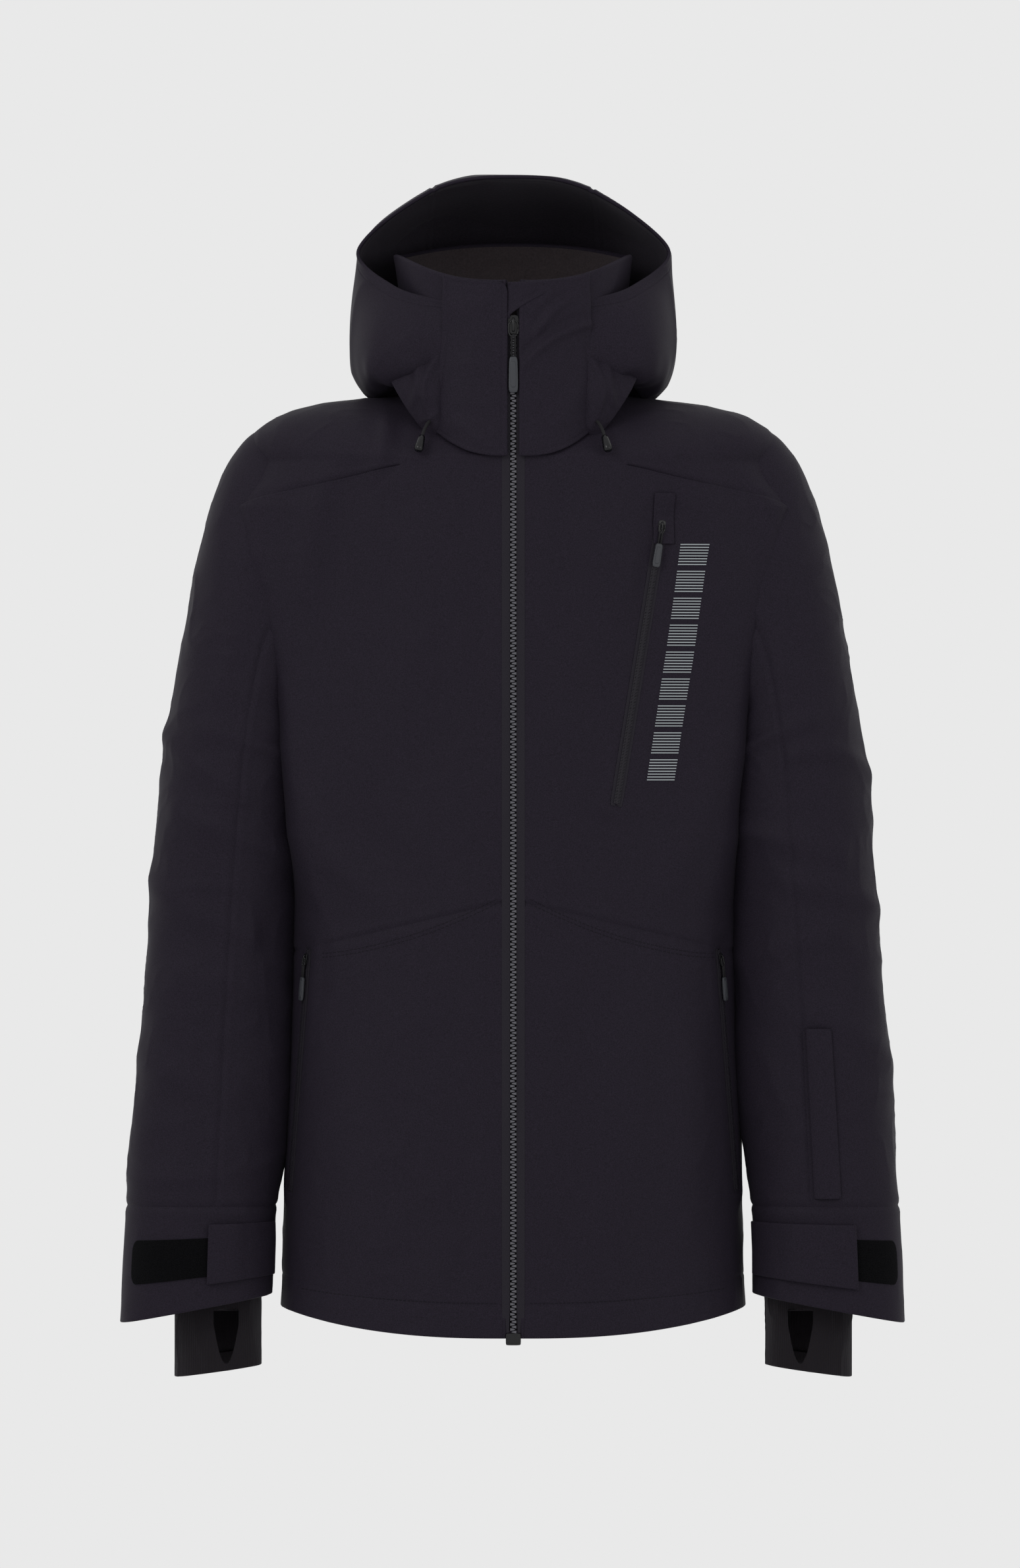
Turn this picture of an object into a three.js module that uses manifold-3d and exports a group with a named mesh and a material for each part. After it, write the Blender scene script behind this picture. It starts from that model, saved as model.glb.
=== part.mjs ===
import * as THREE from "three";
import { mergeVertices } from "three/addons/utils/BufferGeometryUtils.js";
import Module from "manifold-3d";

// A hooded ski jacket, as it hangs on a body, in millimetres. +Z is up, the front faces -Y and the
// wearer's left is +X. The origin is the middle of the neck opening, level with the neck side points.

// Body
const bodyLength = 790; // from the origin's level down to the hem at the centre front
const armpitDrop = 300; // from the origin's level down to the armpits
const chestHalf = 177; // half width at the armpits
const shoulderHalf = chestHalf + 29; // half width at the shoulder tips
const neckHalf = 86; // half width of the neck seam
const backDepth = 118; // from the origin back to the shoulder blades
const frontAtHem = 126; // from the origin's plane forward to the hem
const frontLean = 0.032; // how far the front edge runs back for each millimetre it rises
const roundness = 0.833; // exponent of the superellipse sections
// Fabric
const shellWall = 2.5; // outer shell with its wadding
const liningWall = 1.7;
const layerGap = 0.4; // clearance between layers that touch
const seamGap = 0.18; // each panel stops this short of its seam
const bagWall = 2;
// Collar and hood
const collarFront = 86; // height of the collar's top at the front, side and back
const collarSide = 104;
const collarBack = 120;
const collarFlare = 14; // how much its half width grows towards the top
const hoodTop = 178;
const hoodHalf = 131;
const hoodBack = 165;
const hoodHingeY = 131.5;
const hoodHingeZ = 32;
const hoodCutSlope = 22.7; // degrees that the fold line rises towards the face
// Sleeves
const sleeveLength = 736; // from the shoulder tips down to the cuff's edge
const sleeveHang = 15; // how far the cuffs hang in front of the armholes
const gaiterHalf = 36;
const gaiterDrop = 46; // how far the inner cuff shows below the cuff
// Main zip
const zipHalf = 10.2; // from the centre line to the front panels' edges
const teethSlot = 1.6; // between the two rows, where the slider's post runs
const teethHalf = 4;
const teethDepth = 3;
const mainZipTop = 74;
const mainSliderTop = 50;
// Pocket zips
const pocketSlot = 1.3;
const coilHalf = 2.6;
const coilDepth = 2;
const pocketTapeHalf = 5.6;
const pocketTapeHead = 9; // how far the tape runs on above the slider's rest
const plateGap = 0.4; // between a slider's plates and the zip
const chestZip = { top: [123, -117], bottom: [86, -346] };
const handZip = { top: [172, 312 - bodyLength], bottom: [187, 122 - bodyLength] };
const sleeveZip = { top: -547, bottom: -660 };
// Hanger loop
const loopHalf = 30;
const loopWidth = 8;
const loopReach = 10;

const wasm = await Module();
wasm.setup();

const toRad = Math.PI / 180;
const jacket = new THREE.Group();

// ---- Solids ----

function solid(geometry) {
  const bare = geometry.clone();
  bare.deleteAttribute("normal");
  bare.deleteAttribute("uv");
  const merged = mergeVertices(bare, 1e-4);
  const mesh = new wasm.Mesh({
    numProp: 3,
    vertProperties: new Float32Array(merged.attributes.position.array),
    triVerts: new Uint32Array(merged.index.array),
  });
  return new wasm.Manifold(mesh);
}

function geometryOf(shape) {
  const mesh = shape.getMesh();
  const geometry = new THREE.BufferGeometry();
  geometry.setAttribute("position", new THREE.BufferAttribute(new Float32Array(mesh.vertProperties), 3));
  geometry.setIndex(new THREE.BufferAttribute(new Uint32Array(mesh.triVerts), 1));
  geometry.computeVertexNormals();
  return geometry;
}

const join = (first, ...more) => geometryOf(more.reduce((whole, next) => whole.add(solid(next)), solid(first)));
const cut = (first, ...tools) =>
  geometryOf(tools.reduce((whole, tool) => whole.subtract(solid(tool)), solid(first)));
const keep = (first, tool) => geometryOf(solid(first).intersect(solid(tool)));

// A box given by its lowest and highest corners.
function block(low, high) {
  const size = high.map((value, i) => value - low[i]);
  const geometry = new THREE.BoxGeometry(...size);
  return geometry.translate(low[0] + size[0] / 2, low[1] + size[1] / 2, low[2] + size[2] / 2);
}

function steps(from, to, count) {
  return Array.from({ length: count + 1 }, (_, i) => from + ((to - from) * i) / count);
}

// The multiples of step between two values, with the two ends.
function marks(from, to, step) {
  const inner = [];
  for (let value = Math.ceil((from + 0.01) / step) * step; value < to - 0.01; value += step) inner.push(value);
  return [from, ...inner, to];
}

// The closed solid between two offset copies of a surface. us and vs are the grid lines, inner and
// outer are offsets along the normal, or functions of u and v, and trim is cut off each open edge.
function sheet(surface, us, vs, inner, outer, options = {}) {
  const { trim = seamGap, wrap = false } = options;
  const nu = us.length - 1;
  const nv = vs.length - 1;
  const columns = wrap ? nu : nu + 1;
  const valueOf = (offset, u, v) => (typeof offset === "function" ? offset(u, v) : offset);
  const positions = [];
  for (const offset of [outer, inner]) {
    const grid = [];
    for (let i = 0; i < columns; i++)
      grid.push(vs.map((v) => surface(us[i], v, valueOf(offset, us[i], v))));
    const pull = (point, towards) =>
      point.clone().add(towards.clone().sub(point).setLength(Math.min(trim, towards.distanceTo(point) / 3)));
    if (!wrap)
      for (let j = 0; j <= nv; j++) {
        grid[0][j] = pull(grid[0][j], grid[1][j]);
        grid[nu][j] = pull(grid[nu][j], grid[nu - 1][j]);
      }
    for (let i = 0; i < columns; i++) {
      grid[i][0] = pull(grid[i][0], grid[i][1]);
      grid[i][nv] = pull(grid[i][nv], grid[i][nv - 1]);
    }
    for (const column of grid) for (const point of column) positions.push(point.x, point.y, point.z);
  }
  const at = (layer, i, j) => layer * columns * (nv + 1) + (wrap ? i % nu : i) * (nv + 1) + j;
  const index = [];
  const quad = (a, b, c, d) => index.push(a, b, c, a, c, d);
  for (let i = 0; i < nu; i++) {
    for (let j = 0; j < nv; j++) {
      quad(at(0, i, j), at(0, i + 1, j), at(0, i + 1, j + 1), at(0, i, j + 1));
      quad(at(1, i, j), at(1, i, j + 1), at(1, i + 1, j + 1), at(1, i + 1, j));
    }
    quad(at(1, i, 0), at(1, i + 1, 0), at(0, i + 1, 0), at(0, i, 0));
    quad(at(0, i, nv), at(0, i + 1, nv), at(1, i + 1, nv), at(1, i, nv));
  }
  if (!wrap)
    for (let j = 0; j < nv; j++) {
      quad(at(0, 0, j), at(0, 0, j + 1), at(1, 0, j + 1), at(1, 0, j));
      quad(at(1, nu, j), at(1, nu, j + 1), at(0, nu, j + 1), at(0, nu, j));
    }
  return closed(positions, index);
}

// The filled solid inside a tube-like surface, closed by a fan at each end.
function filled(surface, us, vs, offset) {
  const nu = us.length;
  const nv = vs.length - 1;
  const positions = [];
  for (const u of us)
    for (const v of vs) {
      const point = surface(u, v, offset);
      positions.push(point.x, point.y, point.z);
    }
  const at = (i, j) => (i % nu) * (nv + 1) + j;
  const index = [];
  for (let i = 0; i < nu; i++)
    for (let j = 0; j < nv; j++)
      index.push(at(i, j), at(i + 1, j), at(i + 1, j + 1), at(i, j), at(i + 1, j + 1), at(i, j + 1));
  for (const j of [0, nv]) {
    const centre = new THREE.Vector3();
    for (let i = 0; i < nu; i++) centre.add(new THREE.Vector3().fromArray(positions, at(i, j) * 3));
    centre.divideScalar(nu);
    positions.push(centre.x, centre.y, centre.z);
    const hub = positions.length / 3 - 1;
    for (let i = 0; i < nu; i++)
      if (j) index.push(at(i, j), at(i + 1, j), hub);
      else index.push(at(i + 1, j), at(i, j), hub);
  }
  return closed(positions, index);
}

// A geometry from its points and triangles, turned so that its faces point out.
function closed(positions, index) {
  let volume = 0;
  const corner = (k) => new THREE.Vector3().fromArray(positions, index[k] * 3);
  for (let k = 0; k < index.length; k += 3) volume += corner(k).cross(corner(k + 1)).dot(corner(k + 2));
  if (volume < 0)
    for (let k = 0; k < index.length; k += 3) [index[k + 1], index[k + 2]] = [index[k + 2], index[k + 1]];
  const geometry = new THREE.BufferGeometry();
  geometry.setAttribute("position", new THREE.Float32BufferAttribute(positions, 3));
  geometry.setIndex(index);
  geometry.computeVertexNormals();
  return geometry;
}

// ---- Surfaces ----

const power = (value) => Math.abs(value) ** roundness;
const frontLine = (height) => frontAtHem - frontLean * (height + bodyLength);

// Interpolates rows of numbers without overshoot, with the harmonic mean of the slopes at each row.
function blendRows(rows, t) {
  const k = Math.min(Math.max(Math.floor(t), 0), rows.length - 2);
  const f = t - k;
  const slope = (i, c) => (i < 0 || i > rows.length - 2 ? null : rows[i + 1][c] - rows[i][c]);
  const tangent = (i, c) => {
    const before = slope(i - 1, c);
    const after = slope(i, c);
    if (before === null) return after;
    if (after === null) return before;
    return before * after > 0 ? (2 * before * after) / (before + after) : 0;
  };
  return rows[k].map((value, c) => {
    const a = tangent(k, c);
    const b = tangent(k + 1, c);
    const d = rows[k + 1][c] - value;
    return value + a * f + (3 * d - 2 * a - b) * f * f + (a + b - 2 * d) * f * f * f;
  });
}

// Steps a point off a surface along its normal, found from two short differences.
function offsetBy(surface, u, v, offset, du, dv, uEnds, vEnds) {
  const point = surface(u, v);
  if (!offset) return point;
  const clamp = (value, ends) => Math.min(Math.max(value, ends[0]), ends[1]);
  const across = surface(clamp(u + du, uEnds), v).sub(surface(clamp(u - du, uEnds), v));
  const along = surface(u, clamp(v + dv, vEnds)).sub(surface(u, clamp(v - dv, vEnds)));
  return point.add(across.cross(along).setLength(offset));
}

// The body: rings from the hem (0) over the chevron seam (2), armpits (3), yoke seam (4) and shoulder
// tips (5) to the neck (8). Each holds its height at the front, side and back, half width and depth.
const bodySpan = bodyLength - armpitDrop;
const bodyRings = [
  [-bodyLength, -bodyLength + 22, -bodyLength - 12, chestHalf + 19, backDepth - 6],
  [-bodyLength + 0.2 * bodySpan, -bodyLength + 0.22 * bodySpan, -bodyLength + 0.2 * bodySpan, chestHalf + 16,
    backDepth - 8],
  [-armpitDrop - 0.26 * bodySpan, -armpitDrop - 0.347 * bodySpan, -armpitDrop - 0.347 * bodySpan, chestHalf + 9,
    backDepth - 8],
  [-armpitDrop, -armpitDrop, -armpitDrop, chestHalf, backDepth],
  [-60, -112, -130, shoulderHalf - 12, backDepth - 4],
  [-59.6, -52, -74, shoulderHalf, backDepth - 14],
  [-59.2, -25, -42, shoulderHalf - 20, backDepth - 24],
  [-58.6, -11, -18, (shoulderHalf + neckHalf) / 2 + 2, backDepth - 36],
  [-58, -3, 4, neckHalf, backDepth - 54],
];
const yokeLevel = 4;
const neckLevel = 8;
// Grid rows that the shell, bags and lining share, so that their facets stay parallel.
const lowerRows = [0, 0.35, 0.7, 1, 1.35, 1.7, 2];
const upperRows = [2, 2.5, 3, 3.5, yokeLevel];

// turn goes round from the centre front (0) by the wearer's left (90) and the back (180) to 360.
function bodyRaw(turn, level) {
  const [front, side, back, half, depth] = blendRows(bodyRings, level);
  const across = Math.sin(turn * toRad);
  const ahead = Math.cos(turn * toRad);
  const height = side + ((ahead > 0 ? front : back) - side) * ahead * ahead;
  const sign = turn <= 180 ? 1 : -1;
  if (ahead > 0)
    return new THREE.Vector3(
      sign * (zipHalf + (half - zipHalf) * power(across)), -frontLine(height) * power(ahead), height);
  return new THREE.Vector3(sign * half * power(across), depth * power(ahead), height);
}
const body = (turn, level, offset = 0) =>
  offsetBy(bodyRaw, turn, level, offset, 0.5, 0.02, turn > 180 ? [180.001, 360] : [0, 179.999], [0, neckLevel]);

// The turn and level of the front panels at a given distance from the centre line and height.
function frontSpot(x, z) {
  let low = 0;
  let high = neckLevel;
  let turn = 0;
  for (let i = 0; i < 40; i++) {
    const level = (low + high) / 2;
    const half = blendRows(bodyRings, level)[3];
    turn = Math.asin(Math.min((x - zipHalf) / (half - zipHalf), 1) ** (1 / roundness)) / toRad;
    if (bodyRaw(turn, level).z < z) low = level;
    else high = level;
  }
  return [turn, (low + high) / 2];
}

// The collar: rise goes from the neck seam (0) to its top edge (1).
function collarRaw(turn, rise) {
  const base = bodyRaw(turn, neckLevel);
  const across = Math.sin(turn * toRad);
  const ahead = Math.cos(turn * toRad);
  const top = collarSide + ((ahead > 0 ? collarFront : collarBack) - collarSide) * ahead * ahead;
  const height = base.z + (top - base.z) * rise;
  const half = neckHalf + collarFlare * rise;
  const sign = turn <= 180 ? 1 : -1;
  if (ahead > 0)
    return new THREE.Vector3(
      sign * (zipHalf + (half - zipHalf) * power(across)), -frontLine(height) * power(ahead), height);
  return new THREE.Vector3(sign * half * power(across), (backDepth - 54 - 4 * rise) * power(ahead), height);
}
const collar = (turn, rise, offset = 0) =>
  offsetBy(collarRaw, turn, rise, offset, 0.5, 0.02, turn > 180 ? [180.001, 360] : [0, 179.999], [0, 1]);

// The sleeve: rings from inside the armhole (0) to the cuff seam (9) and the cuff's edge (10). Each holds
// the ends of its section nearest to and furthest from the body (x, z), its half depth and its middle y.
const cuffZ = -45 - sleeveLength;
const armSpan = cuffZ + 275;
const sleeveRings = [
  [chestHalf - 57, -262, shoulderHalf - 56, -23, 66, 0],
  [chestHalf + 1, -285, shoulderHalf + 6, -34, 72, 0],
  [chestHalf + 3, -291, shoulderHalf + 29, -55, 74, 0],
  [chestHalf + 5, -297, shoulderHalf + 47, -93, 75, -1],
  [chestHalf + 6, -305, shoulderHalf + 64, -165, 75, -3],
  [chestHalf + 8, -325, shoulderHalf + 81, -262, 74, -6],
  [chestHalf + 11, -275 + 0.2 * armSpan, shoulderHalf + 92, -275 + 0.15 * armSpan, 70, -9],
  [chestHalf + 16, -275 + 0.38 * armSpan, shoulderHalf + 101, -275 + 0.38 * armSpan, 65, -12],
  [chestHalf + 20, -275 + 0.6 * armSpan, shoulderHalf + 110, -275 + 0.6 * armSpan, 61, -sleeveHang],
  [chestHalf + 23, cuffZ + 97, shoulderHalf + 118, cuffZ + 97, 57, -sleeveHang - 5],
  [chestHalf + 24, cuffZ + 24, shoulderHalf + 123, cuffZ, 55, -sleeveHang - 7],
];
const cuffLevel = 9;

// around is 0 at the outer side of the arm, 90 at its back, 180 at the body and 270 at its front.
const sectionPoint = (ring, around, side) => {
  const out = Math.sign(Math.cos(around * toRad)) * power(Math.cos(around * toRad));
  const back = Math.sign(Math.sin(around * toRad)) * power(Math.sin(around * toRad));
  const [inX, inZ, outX, outZ, deep, middle] = ring;
  return new THREE.Vector3(
    side * ((inX + outX) / 2 + ((outX - inX) / 2) * out), middle + deep * back,
    (inZ + outZ) / 2 + ((outZ - inZ) / 2) * out);
};
const shrunk = (ring, offset) => {
  const [inX, inZ, outX, outZ, deep, middle] = ring;
  const length = Math.hypot(outX - inX, outZ - inZ);
  const stepX = (offset * (outX - inX)) / length;
  const stepZ = (offset * (outZ - inZ)) / length;
  return [inX - stepX, inZ - stepZ, outX + stepX, outZ + stepZ, deep + offset, middle];
};
const sleeveOf = (side) => (around, level, offset = 0) =>
  sectionPoint(shrunk(blendRows(sleeveRings, level), offset), around, side);

// The hood: across runs from the wearer's right end at the chin (-1) round the back (0) to the left end
// (1), and over runs from its bottom edge (0) to the rim of the face opening (1). Each station holds the
// four control points of a Bezier profile.
const chinX = 58.5 + shellWall; // where the hood's ends are tucked against the collar
const chinDepth = (z) => {
  const half = neckHalf + (collarFlare * (z + 50)) / (collarFront + 50);
  const across = ((chinX - zipHalf) / (half - zipHalf)) ** (1 / roundness);
  return -frontLine(z) * power(Math.sqrt(1 - across * across)) - 2 * shellWall + 1.5;
};
const hoodStations = [
  [[0, 100, -2], [0, hoodBack, 40], [0, hoodBack - 25, hoodTop + 12], [0, -42, hoodTop]],
  [[66, 90, -3], [84, hoodBack - 17, 38], [74, hoodBack - 37, hoodTop + 2], [66, -38, hoodTop - 11]],
  [[hoodHalf + 3, 20, -2], [hoodHalf + 8, 52, 28], [hoodHalf + 2, 44, 116], [hoodHalf, -12, 118]],
  [[112, -62, 6], [122, -64, 26], [114, -62, 66], [103, -52, 84]],
  [22, 34, 50, 66].map((z) => [chinX, chinDepth(z), z]),
];
const hoodCurves = [0, 1, 2, 3].map((row) => {
  const half = hoodStations.map((station) => new THREE.Vector3(...station[row]));
  const mirrored = half.slice(1).reverse().map((point) => new THREE.Vector3(-point.x, point.y, point.z));
  return new THREE.CatmullRomCurve3([...mirrored, ...half], false, "catmullrom", 0.5);
});
function hoodRaw(across, over) {
  const [a, b, c, d] = hoodCurves.map((curve) => curve.getPoint((across + 1) / 2));
  const rest = 1 - over;
  return a.multiplyScalar(rest ** 3)
    .add(b.multiplyScalar(3 * rest * rest * over))
    .add(c.multiplyScalar(3 * rest * over * over))
    .add(d.multiplyScalar(over ** 3));
}
const hood = (across, over, offset = 0) =>
  offsetBy(hoodRaw, across, over, -offset, 0.01, 0.01, [-1, 1], [0, 1]);

// ---- Pieces ----

const shell = new THREE.MeshStandardMaterial({ color: 0x221f27, roughness: 0.85, metalness: 0 });
const lining = new THREE.MeshStandardMaterial({ color: 0x1f1b1d, roughness: 0.95, metalness: 0 });
const loopPile = new THREE.MeshStandardMaterial({ color: 0x0c0c0d, roughness: 1, metalness: 0 });
const knit = new THREE.MeshStandardMaterial({ color: 0x1e1b1f, roughness: 0.95, metalness: 0 });
const tape = new THREE.MeshStandardMaterial({ color: 0x201e26, roughness: 0.8, metalness: 0 });
const blackMetal = new THREE.MeshStandardMaterial({ color: 0x141416, roughness: 0.3, metalness: 1 });
const grip = new THREE.MeshStandardMaterial({ color: 0x46484d, roughness: 0.55, metalness: 0 });
const cordStuff = new THREE.MeshStandardMaterial({ color: 0x121214, roughness: 0.8, metalness: 0 });
const barrelStuff = new THREE.MeshStandardMaterial({ color: 0x0b0b0c, roughness: 0.25, metalness: 0 });

function add(name, geometry, material, parent = jacket) {
  const mesh = new THREE.Mesh(geometry, material);
  mesh.name = name;
  parent.add(mesh);
  return mesh;
}

const sides = [{ name: "left", side: 1 }, { name: "right", side: -1 }];
const frontTurns = (from, to, side, step = 10) =>
  side > 0 ? marks(from, to, step) : marks(from, to, step).map((turn) => 360 - turn).reverse();

// A frame on the body with Z along a line up the surface, Y into the jacket and its origin at the top.
function lineFrame(top, bottom, outward) {
  const up = top.clone().sub(bottom).normalize();
  const inward = outward.clone().negate().addScaledVector(up, outward.dot(up)).normalize();
  const across = inward.clone().cross(up);
  return new THREE.Matrix4().makeBasis(across, inward, up).setPosition(top);
}

function mirroredSpot([turn, level], side) {
  return [side > 0 ? turn : 360 - turn, level];
}

function pocketFrame(zip, side) {
  const topSpot = mirroredSpot(frontSpot(...zip.top), side);
  const bottomSpot = mirroredSpot(frontSpot(...zip.bottom), side);
  const top = body(...topSpot);
  const bottom = body(...bottomSpot);
  const outward = body(...topSpot, 1).sub(top).add(body(...bottomSpot, 1).sub(bottom));
  const frame = lineFrame(top, bottom, outward);
  return { frame, length: top.distanceTo(bottom) };
}

const slotFor = ({ frame, length }) =>
  block([-pocketTapeHalf - layerGap, -8, -length - 4 - layerGap], [pocketTapeHalf + layerGap, 8, pocketTapeHead + layerGap])
    .applyMatrix4(frame);

// A closed-end zip: two coils on tape, sewn together at both ends, with the slot for the slider's post.
function coilTape(length) {
  const tapeThick = 0.5;
  const halves = [-1, 1].map((side) => {
    const range = (near, far) => (side > 0 ? [near, far] : [-far, -near]);
    const [coilA, coilB] = range(pocketSlot / 2, coilHalf);
    const [tapeA, tapeB] = range(pocketSlot / 2, pocketTapeHalf);
    return join(
      block([coilA, -coilDepth / 2, -length - 4], [coilB, coilDepth / 2, pocketTapeHead]),
      block([tapeA, -tapeThick, -length - 4], [tapeB, tapeThick, pocketTapeHead]),
    );
  });
  const bar = (z) => block([-coilHalf, -coilDepth / 2 - 0.3, z], [coilHalf, coilDepth / 2 + 0.3, z + 3]);
  return join(halves[0], halves[1], bar(pocketTapeHead - 3), bar(-length - 4));
}

// A slider: two plates round the zip, a post between the rows and a bridge for the pull.
function sliderBody({ half, depth, slot, tall, thick, bridge }) {
  const near = depth / 2 + plateGap;
  const far = near + thick;
  const post = (slot - 0.5) / 2;
  const parts = [
    block([-half, -far, -tall / 2], [half, -near, tall / 2]),
    block([-half, near, -tall / 2], [half, far, tall / 2]),
    block([-post, -near - 0.2, tall / 8], [post, near + 0.2, tall / 2.4]),
  ];
  if (bridge) {
    const rise = far + bridge.hole;
    parts.push(
      block([-bridge.half, -rise - 1, tall / 4 + 0.6], [bridge.half, -far + 0.2, tall / 4 + 1.8]),
      block([-bridge.half, -rise - 1, -tall / 4 - 1], [bridge.half, -far + 0.2, -tall / 4 + 0.2]),
      block([-bridge.half, -rise - 1, -tall / 4 - 1], [bridge.half, -rise, tall / 4 + 1.8]),
    );
  }
  return join(...parts);
}

// A bail: a wire frame whose top bar runs under the slider's bridge. It turns about the origin.
function bail({ half, wire, drop }) {
  const r = wire / 2;
  return join(
    block([-half, -r, -r], [half, r, r]),
    block([-half, -r, -drop], [-half + wire, r, r]),
    block([half - wire, -r, -drop], [half, r, r]),
    block([-half, -r, -drop], [half, r, -drop + wire]),
  );
}

// A pull's moulded grip, a rounded bar from z = bottom up to z = top, with the two strands of its cord
// loop, which reach up to the bail at strandTop.
function pullEnd({ half, thick, top, bottom, cordHalf, strandTop }) {
  const shape = new THREE.Shape();
  const r = half * 0.45;
  shape.moveTo(-half + r, bottom);
  shape.lineTo(half - r, bottom);
  shape.quadraticCurveTo(half, bottom, half, bottom + r);
  shape.lineTo(half, top - r);
  shape.quadraticCurveTo(half, top, half - r, top);
  shape.lineTo(-half + r, top);
  shape.quadraticCurveTo(-half, top, -half, top - r);
  shape.lineTo(-half, bottom + r);
  shape.quadraticCurveTo(-half, bottom, -half + r, bottom);
  const bar = new THREE.ExtrudeGeometry(shape, { depth: thick, bevelEnabled: false, curveSegments: 3 });
  bar.translate(0, 0, -thick / 2).rotateX(Math.PI / 2);
  const strand = (x) => block([x - 0.7, -0.7, top - 1], [x + 0.7, 0.7, strandTop]);
  return join(bar, strand(-cordHalf), strand(cordHalf));
}

function makeBody() {
  const panels = {};
  for (const { name, side } of sides) {
    panels["front_lower_" + name] = sheet(
      body, frontTurns(0, 90, side), lowerRows, -shellWall, 0);
    const upper = sheet(body, frontTurns(0, 90, side), upperRows, -shellWall, 0);
    const wedge = sheet(
      body, frontTurns(0, 20, side), [3.93, ...steps(yokeLevel, neckLevel, 4)], -shellWall, 0);
    panels["front_upper_" + name] = join(upper, wedge);
    panels["front_yoke_" + name] = sheet(
      body, frontTurns(20, 90, side), steps(yokeLevel, neckLevel, 8), -shellWall, 0);
  }
  panels.back_panel = sheet(body, marks(90, 270, 10), [...lowerRows, ...upperRows.slice(1)], -shellWall, 0);
  panels.back_yoke = sheet(body, marks(90, 270, 10), steps(yokeLevel, neckLevel, 8), -shellWall, 0);
  return panels;
}

const armTurns = steps(0, 340, 17);
const bodyGrown = filled(body, [...steps(0, 180, 18), ...steps(190, 360, 17)],
  [...lowerRows, ...upperRows.slice(1), ...steps(yokeLevel, neckLevel, 8).slice(1)], layerGap);
const armBores = sides.map(({ side }) => filled(sleeveOf(side), armTurns, steps(0, 4, 4), -shellWall));

const chestPocket = pocketFrame(chestZip, 1);
const handPockets = sides.map(({ side }) => pocketFrame(handZip, side));
const panels = makeBody();
panels.front_upper_left = cut(panels.front_upper_left, slotFor(chestPocket));
sides.forEach(({ name }, i) => {
  panels["front_lower_" + name] = cut(panels["front_lower_" + name], slotFor(handPockets[i]));
});
for (const [name, geometry] of Object.entries(panels)) {
  const holes = /lower/.test(name) ? [] : armBores;
  add(name, holes.length ? cut(geometry, ...holes) : geometry, shell);
}

// The lining and the snow skirt, both open at the centre front.
const liningAt = -(shellWall + layerGap * 2 + bagWall);
add("body_lining",
  cut(sheet(body, marks(0, 360, 20), [0.06, ...lowerRows.slice(1), ...upperRows.slice(1)],
    liningAt - liningWall, liningAt),
    ...sides.map(({ side }) => filled(sleeveOf(side), armTurns, steps(0, 4, 4), layerGap))), lining);
const skirtAt = liningAt - liningWall - layerGap;
add("snow_skirt", sheet(body, marks(0, 360, 20), steps(1.05, 1.6, 3), skirtAt - 1.2, skirtAt), lining);

// Pocket bags, each beside its zip between the shell and the lining.
const bagAt = -(shellWall + layerGap);
add("chest_pocket_bag", sheet(body, [40, 50, 60], upperRows.slice(1, 4), bagAt - bagWall, bagAt), lining);
for (const { name, side } of sides)
  add("hand_pocket_bag_" + name,
    sheet(body, frontTurns(30, 60, side), lowerRows.slice(2, 6), bagAt - bagWall, bagAt), lining);

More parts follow.
